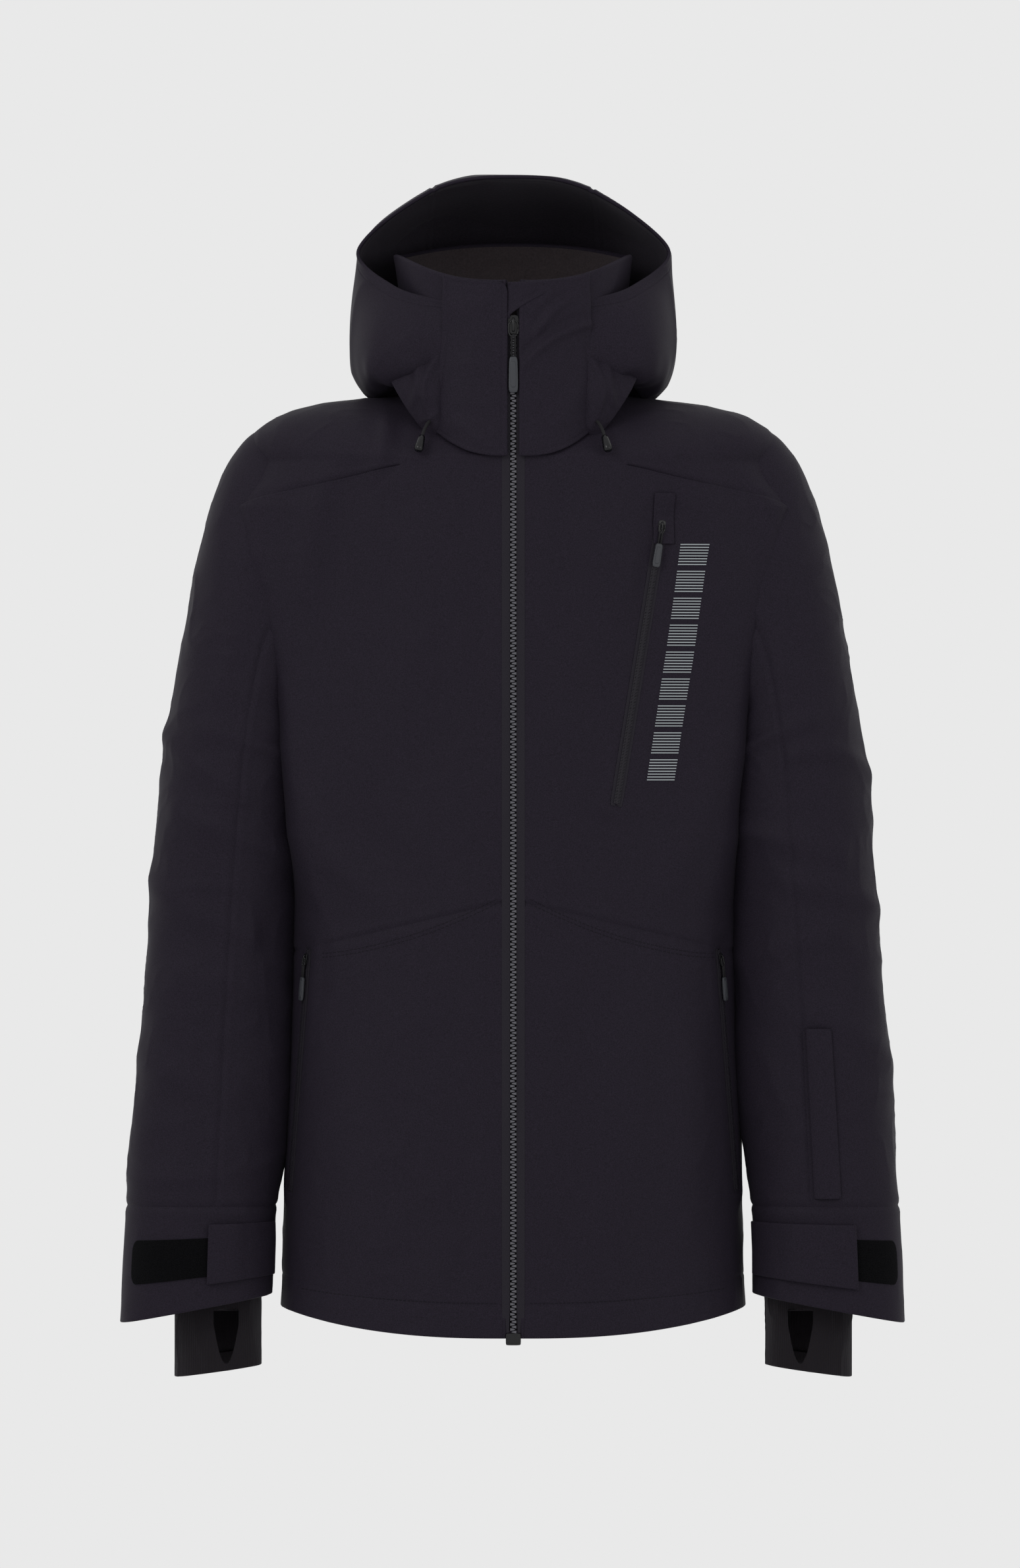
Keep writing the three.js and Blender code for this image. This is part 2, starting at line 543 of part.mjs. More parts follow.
// Sleeves
for (const { name, side } of sides) {
  const sleeve = sleeveOf(side);
  const rows = steps(0, cuffLevel, cuffLevel);
  let outerArm = sheet(sleeve, steps(-100, 80, 9), rows, -shellWall, 0);
  if (side > 0) outerArm = cut(outerArm, slotFor(sleevePocketFrame()));
  add("sleeve_outer_" + name, cut(outerArm, bodyGrown), shell);
  add("sleeve_under_" + name, cut(sheet(sleeve, steps(80, 260, 9), rows, -shellWall, 0), bodyGrown), shell);
  add("sleeve_lining_" + name,
    cut(sheet(sleeve, steps(0, 360, 9), steps(0, cuffLevel, 9), -shellWall - layerGap - liningWall,
      -shellWall - layerGap, { wrap: true }), bodyGrown), lining);
  add("cuff_" + name, sheet(sleeve, steps(0, 360, 18), steps(cuffLevel, 10, 2), -shellWall, 0, { wrap: true }),
    shell);
  const around = (from, to) => [from, ...steps(Math.ceil((from + 1) / 20) * 20, Math.floor((to - 1) / 20) * 20,
    Math.floor((to - 1) / 20) - Math.ceil((from + 1) / 20)), to];
  const patchWall = 1.2;
  add("cuff_loop_patch_" + name,
    sheet(sleeve, around(-118, side > 0 ? -28 : -32), steps(9.3, 9.68, 1), layerGap, layerGap + patchWall),
    loopPile);
  const tabEnd = side > 0 ? -74 : -96;
  const lift = layerGap * 2 + patchWall;
  add("cuff_tab_" + name,
    sheet(sleeve, around(-165, tabEnd), steps(9.2, 9.74, 1), (u) => (u < -121 ? layerGap : lift),
      (u) => (u < -121 ? layerGap + 1.6 : lift + 1.6)), shell);

  // The inner cuff: sewn inside the cuff at its top, then a narrow knitted tube with a thumb hole.
  const seat = shrunk(blendRows(sleeveRings, 9.25), -shellWall - layerGap);
  const middle = (seat[0] + seat[2]) / 2 - 15;
  const narrow = (z, lean) => [middle - gaiterHalf, z, middle + gaiterHalf, z - lean, 31, seat[5]];
  const gaiterRings = [seat, narrow(cuffZ + 38, 2), narrow(cuffZ + 10, 6), narrow(cuffZ - gaiterDrop + 10, 10)];
  const gaiter = (turn, row, offset = 0) => sectionPoint(shrunk(gaiterRings[row], offset), turn, side);
  const hole = new THREE.Shape();
  hole.moveTo(0, -24);
  hole.quadraticCurveTo(11, -4, 9, 18);
  hole.lineTo(-9, 18);
  hole.quadraticCurveTo(-11, -4, 0, -24);
  const thumb = new THREE.ExtrudeGeometry(hole, { depth: 60, bevelEnabled: false, curveSegments: 4 });
  thumb.rotateX(Math.PI / 2).translate(side * (middle - 8), seat[5], cuffZ - 10);
  add("inner_cuff_" + name,
    cut(sheet(gaiter, steps(0, 360, 18), [0, 1, 2, 3], -1.4, 0, { wrap: true, trim: 0 }), thumb), knit);
}

// Collar
for (const { name, side } of sides) {
  add("collar_outer_" + name, sheet(collar, frontTurns(0, 180, side), steps(0, 1, 3), -shellWall, 0), shell);
  add("collar_front_" + name,
    sheet(collar, frontTurns(0, 30, side), steps(0.02, 0.995, 3), layerGap, layerGap + 1.6), shell);
}
const collarLiningAt = -shellWall - layerGap;
add("collar_lining",
  sheet(collar, marks(0, 360, 20), steps(0.03, 0.985, 2), collarLiningAt - liningWall, collarLiningAt), lining);

// The hanger loop: a flat strap sewn at both ends to the collar lining at the back of the neck.
function hangerLoop() {
  const back = collar(180, 0.3, collarLiningAt - liningWall);
  const aside = collar(160, 0.3, collarLiningAt - liningWall);
  const wall = back.y + ((aside.y - back.y) * loopHalf) / aside.x - layerGap - 0.4;
  const strap = 1.5;
  const outline = new THREE.Shape();
  outline.moveTo(-loopHalf, wall);
  outline.lineTo(-loopHalf + 8, wall);
  outline.quadraticCurveTo(-loopHalf + 10, wall - loopReach + strap, 0, wall - loopReach + strap);
  outline.quadraticCurveTo(loopHalf - 10, wall - loopReach + strap, loopHalf - 8, wall);
  outline.lineTo(loopHalf, wall);
  outline.lineTo(loopHalf, wall - strap);
  outline.lineTo(loopHalf - 8, wall - strap);
  outline.quadraticCurveTo(loopHalf - 12, wall - loopReach, 0, wall - loopReach);
  outline.quadraticCurveTo(-loopHalf + 12, wall - loopReach, -loopHalf + 8, wall - strap);
  outline.lineTo(-loopHalf, wall - strap);
  const loop = new THREE.ExtrudeGeometry(outline, { depth: loopWidth, bevelEnabled: false, curveSegments: 5 });
  return loop.translate(0, 0, back.z);
}
add("hanger_loop", hangerLoop(), lining);

// Hood: three panels, cut along the fold line into the part that folds back and the part that stays.
const foldLine = new THREE.Matrix4().makeRotationX(-hoodCutSlope * toRad)
  .setPosition(0, hoodHingeY, hoodHingeZ);
const above = block([-300, -400, layerGap / 2], [300, 200, 400]).applyMatrix4(foldLine);
const below = block([-300, -400, -400], [300, 200, -layerGap / 2]).applyMatrix4(foldLine);
const hoodRows = steps(0, 1, 8);
const hoodWhole = sheet(hood, steps(-1, 1, 16), hoodRows, -shellWall, 0);
const hoodLeft = sheet(hood, steps(0.25, 1, 6), hoodRows, -shellWall, 0);
const hoodRight = sheet(hood, steps(-1, -0.25, 6), hoodRows, -shellWall, 0);
const midLine = block([0, -400, -400], [300, 400, 400]);
const leftBase = keep(keep(hoodWhole, below), midLine);
const rightBase = keep(keep(hoodWhole, below), midLine.clone().translate(-300 - 2 * seamGap, 0, 0));
add("hood_base_left", leftBase, shell);
add("hood_base_right", rightBase, shell);
add("hood_crown_centre", keep(sheet(hood, steps(-0.25, 0.25, 4), hoodRows, -shellWall, 0), above), shell);
add("hood_crown_left", keep(hoodLeft, above), shell);
add("hood_crown_right", keep(hoodRight, above), shell);

// ---- Zips ----

// Main zip, on the straight line of the front edges, leaning back as it rises.
const mainFrame = new THREE.Group();
mainFrame.position.set(0, -frontLine(mainSliderTop), mainSliderTop);
mainFrame.rotation.x = -Math.atan(frontLean);
jacket.add(mainFrame);
const mainBottom = -(mainSliderTop + bodyLength - 3);
const mainHead = mainZipTop - mainSliderTop;
for (const { name, side } of sides) {
  const range = (near, far) => (side > 0 ? [near, far] : [-far, -near]);
  const [teethA, teethB] = range(teethSlot / 2, teethHalf);
  const [tapeA, tapeB] = range(teethHalf - 0.5, zipHalf - layerGap - 0.1);
  add("main_zip_" + name,
    join(
      block([teethA, -teethDepth / 2, mainBottom], [teethB, teethDepth / 2, mainHead]),
      block([tapeA, -0.4, mainBottom], [tapeB, 0.4, mainHead]),
    ), tape, mainFrame);
}
const stopGap = 0.3;
add("main_zip_box",
  block([-6.5, -teethDepth / 2 - 0.8, mainBottom - 10], [6.5, teethDepth / 2 + 0.8, mainBottom - stopGap]),
  blackMetal, mainFrame);
const mainBridge = { half: 2.2, hole: 1.8 };
const mainSlider = { half: 5, depth: teethDepth, slot: teethSlot, tall: 16, thick: 1.2, bridge: mainBridge };
add("main_slider", sliderBody(mainSlider), blackMetal, mainFrame);
const mainPull = new THREE.Group();
mainPull.position.set(0, -(teethDepth / 2 + plateGap + 1.2 + 0.95), 2.4);
mainFrame.add(mainPull);
add("main_pull_bail", bail({ half: 4.6, wire: 1.1, drop: 12 }), blackMetal, mainPull);
add("main_pull_grip", pullEnd({ half: 4, thick: 3.2, top: -29, bottom: -59, cordHalf: 1.5, strandTop: -12.4 }),
  grip, mainPull);

// Pocket zips with their sliders and pulls.
const pocketSlider = {
  half: 3.2, depth: coilDepth, slot: pocketSlot, tall: 10, thick: 0.9, bridge: { half: 1.5, hole: 1.5 },
};
function addPocketZip(name, { frame, length }) {
  const place = new THREE.Group();
  place.applyMatrix4(frame);
  jacket.add(place);
  add(name + "_zip_tape", coilTape(length), tape, place);
  add(name + "_slider", sliderBody(pocketSlider), blackMetal, place);
  const pull = new THREE.Group();
  pull.position.set(0, -(coilDepth / 2 + plateGap + 0.9 + 0.8), 1.2);
  place.add(pull);
  const ring = bail({ half: 2.9, wire: 0.9, drop: 7 });
  const end = pullEnd({ half: 3.4, thick: 2.4, top: -16, bottom: -36, cordHalf: 1.1, strandTop: -6.8 });
  add(name + "_pull", join(ring, end), grip, pull);
}
addPocketZip("chest_pocket", chestPocket);
sides.forEach(({ name }, i) => addPocketZip("hand_pocket_" + name, handPockets[i]));
// A fabric hood sewn over the top end of the chest pocket's zip.
const garageAt = layerGap + 0.5;
const chestSurface = (x, z, offset = 0) => body(...frontSpot(x, z), offset);
const garageX = chestZip.top[0] + 3;
add("chest_zip_garage",
  sheet(chestSurface, steps(garageX - 7.5, garageX + 7.5, 2), steps(chestZip.top[1] + pocketTapeHead + 1, chestZip.top[1] + 28, 2),
    garageAt, garageAt + 1.4), shell);

// The concealed sleeve pocket's zip lies below the surface of the left sleeve.
function sleevePocketFrame() {
  const sleeve = sleeveOf(1);
  const spot = (z) => {
    let low = 5;
    let high = cuffLevel;
    for (let i = 0; i < 30; i++) {
      const level = (low + high) / 2;
      if (sleeve(270, level).z > z) low = level;
      else high = level;
    }
    return sleeve(270, low);
  };
  const top = spot(sleeveZip.top);
  const bottom = spot(sleeveZip.bottom);
  return { frame: lineFrame(top, bottom, new THREE.Vector3(0, -1, 0)), length: top.distanceTo(bottom) };
}
const sleevePlace = new THREE.Group();
const sleevePocket = sleevePocketFrame();
sleevePlace.applyMatrix4(sleevePocket.frame);
jacket.add(sleevePlace);
add("sleeve_pocket_zip_tape", coilTape(sleevePocket.length), tape, sleevePlace);
add("sleeve_pocket_slider", sliderBody({ ...pocketSlider, bridge: null }), blackMetal, sleevePlace);

// Hood drawcords: each leaves the collar's foot and hangs down to its barrel end.
const cordRadius = 1.4;
const cordPoints = [
  [65, -81.9, -25.6], [68, -88, -28], [71, -93, -31.5], [73, -96, -35], [74.5, -98.5, -38.5], [75.5, -100.5, -42],
];
for (const { name, side } of sides) {
  const route = new THREE.CatmullRomCurve3(cordPoints.map(([x, y, z]) => new THREE.Vector3(side * x, y, z)));
  const ring = new THREE.Shape(steps(0, 315, 7).map((turn) =>
    new THREE.Vector2(cordRadius * Math.cos(turn * toRad), cordRadius * Math.sin(turn * toRad))));
  add("hood_cord_" + name,
    new THREE.ExtrudeGeometry(ring, { steps: 7, extrudePath: route, bevelEnabled: false }), cordStuff);
  const profile = [[0, 0], [2.4, 0], [3.4, 4], [3.8, 13], [3, 15], [0, 15]];
  const barrel = new THREE.LatheGeometry(profile.map(([r, h]) => new THREE.Vector2(r, h)), 10);
  const end = route.getPoint(1);
  const along = route.getTangent(1);
  barrel.translate(0, 0.35, 0);
  barrel.applyQuaternion(new THREE.Quaternion().setFromUnitVectors(new THREE.Vector3(0, 1, 0), along));
  barrel.translate(end.x, end.y, end.z);
  add("hood_cord_end_" + name, barrel, barrelStuff);
}

export default jacket;
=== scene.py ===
import bpy
import numpy as np
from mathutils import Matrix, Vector


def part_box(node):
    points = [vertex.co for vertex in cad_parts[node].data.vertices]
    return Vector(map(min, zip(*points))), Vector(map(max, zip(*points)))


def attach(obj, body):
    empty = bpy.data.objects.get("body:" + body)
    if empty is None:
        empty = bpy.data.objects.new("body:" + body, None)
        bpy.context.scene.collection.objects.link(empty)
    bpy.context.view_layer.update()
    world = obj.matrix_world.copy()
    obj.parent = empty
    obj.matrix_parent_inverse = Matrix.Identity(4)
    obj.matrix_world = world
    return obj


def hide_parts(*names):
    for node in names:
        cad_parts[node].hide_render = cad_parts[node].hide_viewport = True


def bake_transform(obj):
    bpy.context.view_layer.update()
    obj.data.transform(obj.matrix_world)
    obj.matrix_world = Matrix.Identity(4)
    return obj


# The ski jacket's looks. Lengths are in millimetres in the row frame, and meshPiece turns them into metres.

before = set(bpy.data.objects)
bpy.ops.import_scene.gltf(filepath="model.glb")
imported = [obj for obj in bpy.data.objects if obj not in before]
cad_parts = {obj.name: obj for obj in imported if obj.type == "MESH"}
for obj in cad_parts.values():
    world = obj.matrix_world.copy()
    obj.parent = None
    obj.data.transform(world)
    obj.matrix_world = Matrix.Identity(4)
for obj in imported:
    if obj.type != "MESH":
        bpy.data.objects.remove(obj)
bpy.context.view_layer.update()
mm = 0.001

# Camera and light.

view = {"distance": 9.0, "middleX": -0.00275, "middleZ": -0.3315, "seenHeight": 1.3175}
light = {"background": 0.8148, "ambient": 1.0, "key": 27.0, "fill": 9.0, "top": 3.0}

scene = bpy.context.scene
scene.render.resolution_x = 1548
scene.render.resolution_y = 2380
scene.view_settings.view_transform = "Standard"
scene.view_settings.look = "None"

cameraData = bpy.data.cameras.new("frontView")
cameraData.sensor_width = 36
cameraData.lens = 36 * view["distance"] / view["seenHeight"]
cameraData.clip_end = 60
camera = bpy.data.objects.new("frontView", cameraData)
camera.location = (view["middleX"], -view["distance"], view["middleZ"])
camera.rotation_euler = (np.pi / 2, 0, 0)
scene.collection.objects.link(camera)
scene.camera = camera

world = bpy.data.worlds.new("studio")
scene.world = world
world.use_nodes = True
backdrop = world.node_tree.nodes["Background"]
backdrop.inputs["Color"].default_value = (light["background"],) * 3 + (1,)
backdrop.inputs["Strength"].default_value = light["ambient"]


# A round area light that looks at a target.
def softLight(name, place, target, size, power):
    data = bpy.data.lights.new(name, "AREA")
    data.energy = power
    data.shape = "DISK"
    data.size = size
    lamp = bpy.data.objects.new(name, data)
    lamp.location = place
    lamp.rotation_euler = (Vector(target) - Vector(place)).to_track_quat("-Z", "Y").to_euler()
    scene.collection.objects.link(lamp)


# The floor: a pale disc well below the hem.
def buildFloor(radius=1.5, height=-1.32, sides=96):
    angle = np.linspace(0, 2 * np.pi, sides, endpoint=False)
    rim = np.column_stack([radius * np.cos(angle), radius * np.sin(angle), np.full(sides, height)])
    data = bpy.data.meshes.new("studioFloor")
    data.from_pydata(rim.tolist(), [], [list(range(sides))])
    floor = bpy.data.objects.new("studioFloor", data)
    scene.collection.objects.link(floor)
    pale = bpy.data.materials.new("studioFloorPaint")
    pale.use_nodes = True
    pale.node_tree.nodes["Principled BSDF"].inputs["Base Color"].default_value = (0.72, 0.72, 0.72, 1)
    pale.node_tree.nodes["Principled BSDF"].inputs["Roughness"].default_value = 0.9
    data.materials.append(pale)


buildFloor()
softLight("key", (-1.9, -2.6, 1.5), (0, 0, -0.3), 1.6, light["key"])
softLight("fill", (2.4, -2.6, 0.3), (0, 0, -0.35), 2.0, light["fill"])
softLight("top", (0, 0.4, 2.4), (0, 0, -0.2), 1.8, light["top"])
print("camera and light")

# Number helpers.

rng = np.random.default_rng(7)
latticeSize = 64
lattice = rng.random((latticeSize, latticeSize, latticeSize)) * 2 - 1


# 0 below low, 1 above high, and the cubic 3tt - 2ttt between.
def smoothStep(low, high, value):
    t = np.clip((value - low) / (high - low), 0, 1)
    return t * t * (3 - 2 * t)


# Value noise: the eight lattice values round each point, blended by smooth weights, from -1 to 1.
def noise(points):
    base = np.floor(points).astype(int)
    f = points - base
    f = f * f * (3 - 2 * f)
    total = 0
    for corner in range(8):
        step = np.array([corner & 1, corner >> 1 & 1, corner >> 2])
        index = (base + step) % latticeSize
        weight = np.prod(np.where(step, f, 1 - f), axis=-1)
        total = total + weight * lattice[index[..., 0], index[..., 1], index[..., 2]]
    return total


# Noise summed over layers, each at twice the frequency and half the height of the last.
def layeredNoise(points, scale, layers=3):
    return sum(noise(points / scale * 2**k + 17.3 * k) / 2**k for k in range(layers))


# Soft wrinkles: the crests of a noise that is warped by another one, stretched along one direction.
def wrinkles(points, scale, stretch, seed=0.0):
    bent = points + 0.5 * scale * noise(points / (1.7 * scale) + 5.1 + seed)[..., None]
    crests = 1 - np.abs(noise(bent / (scale * np.asarray(stretch)) + seed))
    return crests**3 - 0.35


# Vectors divided by their lengths.
def unit(v):
    return v / np.maximum(np.linalg.norm(v, axis=-1, keepdims=True), 1e-9)


# The normals of a grid of points, from its neighbours' differences.
def gridNormals(points, sign=1):
    return sign * unit(np.cross(np.gradient(points, axis=0), np.gradient(points, axis=1)))


# Rows of values joined by cubics through each row, whose slopes are harmonic means of the steps beside it,
# so that nothing overshoots.
def blendRows(rows, t):
    rows = np.asarray(rows, float)
    slopes = np.diff(rows, axis=0)
    product = slopes[:-1] * slopes[1:]
    total = slopes[:-1] + slopes[1:]
    inner = np.where(product > 0, 2 * product / np.where(total == 0, 1, total), 0)
    tangents = np.vstack([slopes[:1], inner, slopes[-1:]])
    k = np.clip(np.floor(t).astype(int), 0, len(rows) - 2)
    f = (t - k)[..., None]
    a, b, d = tangents[k], tangents[k + 1], slopes[k]
    return rows[k] + a * f + (3 * d - 2 * a - b) * f**2 + (a + b - 2 * d) * f**3


# Materials.

sideName = {1: "left", -1: "right"}
surfaces, slots = {}, {}
bandsPerUnit = 3.1831  # the wave texture's bands in one unit at a scale of 1


# A finish on the principled shader: an even colour, mottled by a fine noise that also lifts the surface,
# and for knits a wave across the piece's own UV map. Its slot is the one the pieces made of it fill.
def makeMaterial(name, slot, color, rough, specular=0.2, sheen=0.0, grain=None, mottle=0.0, coat=0.0,
                 ribs=None):
    material = bpy.data.materials.new(name)
    material.use_nodes = True
    tree = material.node_tree
    shader = tree.nodes["Principled BSDF"]
    shader.inputs["Base Color"].default_value = (*color, 1)
    shader.inputs["Roughness"].default_value = rough
    shader.inputs["Specular IOR Level"].default_value = specular
    shader.inputs["Sheen Weight"].default_value = sheen
    shader.inputs["Sheen Roughness"].default_value = 0.6
    shader.inputs["Sheen Tint"].default_value = (0.7, 0.68, 0.75, 1)
    shader.inputs["Coat Weight"].default_value = coat
    place, normal = tree.nodes.new("ShaderNodeTexCoord"), None
    if grain:
        size, depth = grain
        texture = tree.nodes.new("ShaderNodeTexNoise")
        texture.inputs["Scale"].default_value = 1 / (size * mm)
        texture.inputs["Detail"].default_value = 3
        texture.inputs["Roughness"].default_value = 0.6
        tree.links.new(place.outputs["Object"], texture.inputs["Vector"])
        bump = tree.nodes.new("ShaderNodeBump")
        bump.inputs["Distance"].default_value = depth * mm
        tree.links.new(texture.outputs["Fac"], bump.inputs["Height"])
        normal = bump.outputs["Normal"]
        if mottle:
            ramp = tree.nodes.new("ShaderNodeMapRange")
            ramp.inputs["To Min"].default_value = 1 - mottle
            ramp.inputs["To Max"].default_value = 1 + mottle
            ramp.inputs["From Min"].default_value = 0.3
            ramp.inputs["From Max"].default_value = 0.7
            tint = tree.nodes.new("ShaderNodeMix")
            tint.data_type = "RGBA"
            tint.blend_type = "MULTIPLY"
            tint.inputs["Factor"].default_value = 1
            tint.inputs["A"].default_value = (*color, 1)
            tree.links.new(texture.outputs["Fac"], ramp.inputs["Value"])
            tree.links.new(ramp.outputs["Result"], tint.inputs["B"])
            tree.links.new(tint.outputs["Result"], shader.inputs["Base Color"])
    if ribs:
        pitch, depth, axis = ribs
        wave = tree.nodes.new("ShaderNodeTexWave")
        wave.bands_direction = axis
        wave.inputs["Scale"].default_value = 1 / pitch / bandsPerUnit
        wave.inputs["Distortion"].default_value = 0.4
        tree.links.new(place.outputs["UV"], wave.inputs["Vector"])
        ridge = tree.nodes.new("ShaderNodeBump")
        ridge.inputs["Distance"].default_value = depth * mm
        tree.links.new(wave.outputs["Fac"], ridge.inputs["Height"])
        if normal:
            tree.links.new(normal, ridge.inputs["Normal"])
        normal = ridge.outputs["Normal"]
    if normal:
        tree.links.new(normal, shader.inputs["Normal"])
    surfaces[name], slots[name] = material, slot


makeMaterial("shellCloth", "shell_fabric", (0.0132, 0.0103, 0.0168), 0.62, 0.07, sheen=0.015,
             grain=(0.9, 0.12), mottle=0.34)
makeMaterial("liningCloth", "lining_fabric", (0.0240, 0.0200, 0.0275), 0.85, 0.1, sheen=0.06,
             grain=(1.6, 0.25), mottle=0.2)
makeMaterial("tricot", "lining_fabric", (0.033, 0.026, 0.028), 0.85, 0.1, sheen=0.1,
             grain=(1.6, 0.3), mottle=0.2)
makeMaterial("loopPile", "loop_pile", (0.0026, 0.0026, 0.0030), 0.95, 0.03, sheen=0.015,
             grain=(0.9, 0.6), mottle=0.5)
makeMaterial("cuffKnit", "cuff_knit", (0.0105, 0.0088, 0.0108), 0.85, 0.08, sheen=0.06,
             grain=(0.8, 0.15), mottle=0.15, ribs=(2.0, 0.35, "X"))
makeMaterial("zipTape", "zip_tape", (0.0150, 0.0130, 0.0180), 0.8, 0.15, grain=(0.6, 0.1), mottle=0.2)
makeMaterial("toothGrey", "zip_tape", (0.075, 0.074, 0.086), 0.35, 0.5)
makeMaterial("coilPlastic", "zip_tape", (0.013, 0.011, 0.016), 0.5, 0.25)
makeMaterial("blackMetal", "black_metal", (0.007, 0.007, 0.008), 0.25, 0.25, coat=0.1)
makeMaterial("gripRubber", "pull_rubber", (0.034, 0.036, 0.042), 0.45, 0.3, grain=(0.5, 0.03))
makeMaterial("cordBraid", "cord_braid", (0.008, 0.0075, 0.009), 0.75, 0.25, grain=(0.5, 0.2))
makeMaterial("barrelPlastic", "cord_end_plastic", (0.004, 0.004, 0.005), 0.22, 0.3)
makeMaterial("stripePrint", "pull_rubber", (0.27, 0.30, 0.31), 0.4, 0.4)
makeMaterial("stitchThread", "shell_fabric", (0.008, 0.0065, 0.010), 0.7, 0.1, grain=(0.4, 0.1))
print("materials")

# Meshes.

# The quads of a grid whose points are stored with the second index running fastest.
def gridFaces(rows, columns, wrap=False):
    i, j = np.meshgrid(np.arange(rows if wrap else rows - 1), np.arange(columns - 1), indexing="ij")
    a, b = i * columns + j, (i + 1) % rows * columns + j
    return np.stack([a, b, b + 1, a + 1], axis=-1).reshape(-1, 4)


# A piece from points in millimetres and quads: unused points go, and it rides on its body unless ride is
# false. flip turns the faces round, as a mirrored side needs.
def meshPiece(name, points, faces, surface, body="root", nodes=(), slot=None, uv=None, flip=False,
              smooth=True, ride=True):
    points = np.asarray(points, float).reshape(-1, 3)
    faces = np.asarray(faces)
    used = np.unique(faces)
    index = np.zeros(len(points), int)
    index[used] = np.arange(len(used))
    faces = index[faces]
    if flip:
        faces = faces[:, ::-1]
    mesh = bpy.data.meshes.new(name)
    mesh.from_pydata((points[used] * mm).astype(np.float32), [], faces)
    if uv is not None:
        layer = mesh.uv_layers.new(name="lengths")
        layer.data.foreach_set("uv", np.asarray(uv, np.float32).reshape(-1, 2)[used][faces.ravel()].ravel())
    mesh.materials.append(surfaces[surface])
    mesh.polygons.foreach_set("use_smooth", np.full(len(faces), smooth))
    mesh.update()
    piece = bpy.data.objects.new(name, mesh)
    scene.collection.objects.link(piece)
    if ride:
        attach(piece, body)
    if nodes:
        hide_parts(*nodes)
    return piece


# A piece whose points are one grid.
def gridPiece(name, points, surface, *more, **named):
    return meshPiece(name, points, gridFaces(*points.shape[:2]), surface, *more, **named)


# The mean of a value over each face's corners.
def faceMeans(values, faces):
    return values.ravel()[faces].mean(1)


# A node's name without underscores, each word capitalised.
def pieceName(node):
    return node.replace("_", " ").title().replace(" ", "")


# Two grids of values, the first running along the rows' index and the second along the columns'.
def spread(first, second):
    return np.meshgrid(np.linspace(*first), np.linspace(*second), indexing="ij")


# Adds rows beyond a grid's last row that turn the cloth's edge round by half a circle and then run
# back inside by the given depth. The sign is the one that makes the grid's normals point outwards.
def rollEdge(points, sign, thick, depth, start=False):
    normals = gridNormals(points, sign)
    if start:
        points, normals = points[::-1], normals[::-1]
    edge, normal = points[-1], normals[-1]
    outward = unit(edge - points[-2])
    centre = edge - normal * thick / 2
    turns = np.linspace(0, np.pi, 6)[1:]
    rows = [centre + normal * (thick / 2 * np.cos(t)) + outward * (thick / 2 * np.sin(t)) for t in turns]
    inside = [rows[-1] - outward * depth * share for share in (0.5, 1)]
    grown = np.concatenate([points, rows, inside])
    return grown[::-1] if start else grown


# The same grid with its rows as columns.
def swapAxes(points):
    return np.swapaxes(points, 0, 1)


# The same roll on the columns: with its axes swapped a grid's normals change sign.
def rollColumns(points, sign, thick, depth, start=False):
    return swapAxes(rollEdge(swapAxes(points), -sign, thick, depth, start))


# All four edges of a grid turned under.
def hemmed(points, thick, depth, sign=1):
    for turned in (sign, -sign):
        for start in (False, True):
            points = rollEdge(points, turned, thick, depth, start)
        points = swapAxes(points)
    return points


# Values repeated beyond the first row and column until they are as many as a grown grid's.
def grown(values, like):
    return np.pad(values, [(new - old, 0) for new, old in zip(like.shape, values.shape)], mode="edge")


# Several grids or shapes as one: (points, faces) pairs.
def merged(parts):
    points, faces, count = [], [], 0
    for p, f in parts:
        p = np.asarray(p).reshape(-1, 3)
        points.append(p)
        faces.append(np.asarray(f) + count)
        count += len(p)
    return np.concatenate(points), np.concatenate(faces)


# Copies of a shape, one for each frame: origins (n, 3) and axes (n, 3, 3) whose rows are the local axes.
def copies(shape, origins, axes):
    base, faces = shape
    points = origins[:, None, :] + np.einsum("vk,nkc->nvc", base, axes)
    count = np.arange(len(origins))[:, None, None] * len(base)
    return points.reshape(-1, 3), (faces[None] + count).reshape(-1, faces.shape[1])


# A tube of given radius along a line of points, closed at both ends.
def tube(line, radius, sides=10):
    line = np.asarray(line, float)
    radius = np.broadcast_to(radius, len(line))
    ahead = unit(np.gradient(line, axis=0))
    side = np.cross(ahead, [0.3, 0.1, 0.95])
    side = unit(np.where(np.linalg.norm(side, axis=1, keepdims=True) < 0.2, np.cross(ahead, [1, 0, 0]), side))
    other = np.cross(ahead, side)
    turn = np.linspace(0, 2 * np.pi, sides, endpoint=False)
    ring = (np.cos(turn)[None, :, None] * side[:, None] + np.sin(turn)[None, :, None] * other[:, None])
    points = line[:, None] + ring * radius[:, None, None]
    points = np.concatenate([np.broadcast_to(line[0], (1, sides, 3)), points,
                             np.broadcast_to(line[-1], (1, sides, 3))])
    return swapAxes(points), gridFaces(sides, len(points), wrap=True)


# A block with rounded edges: a cube's grid pushed towards a superellipsoid and scaled.
def roundBlock(low, high, sharp=5.0, count=7):
    low, high = np.asarray(low, float), np.asarray(high, float)
    line = np.sin(np.linspace(-np.pi / 2, np.pi / 2, count))
    parts = []
    for axis in range(3):
        for sign in (-1, 1):
            u, v = np.meshgrid(line, line, indexing="ij")
            cube = np.empty((count, count, 3))
            cube[..., axis] = sign
            cube[..., (axis + 1) % 3] = u
            cube[..., (axis + 2) % 3] = v
            norm = (np.abs(cube) ** sharp).sum(-1, keepdims=True) ** (1 / sharp)
            faces = gridFaces(count, count)
            parts.append((cube / norm, faces if sign > 0 else faces[:, ::-1]))
    points, faces = merged(parts)
    return (low + high) / 2 + points * (high - low) / 2, faces


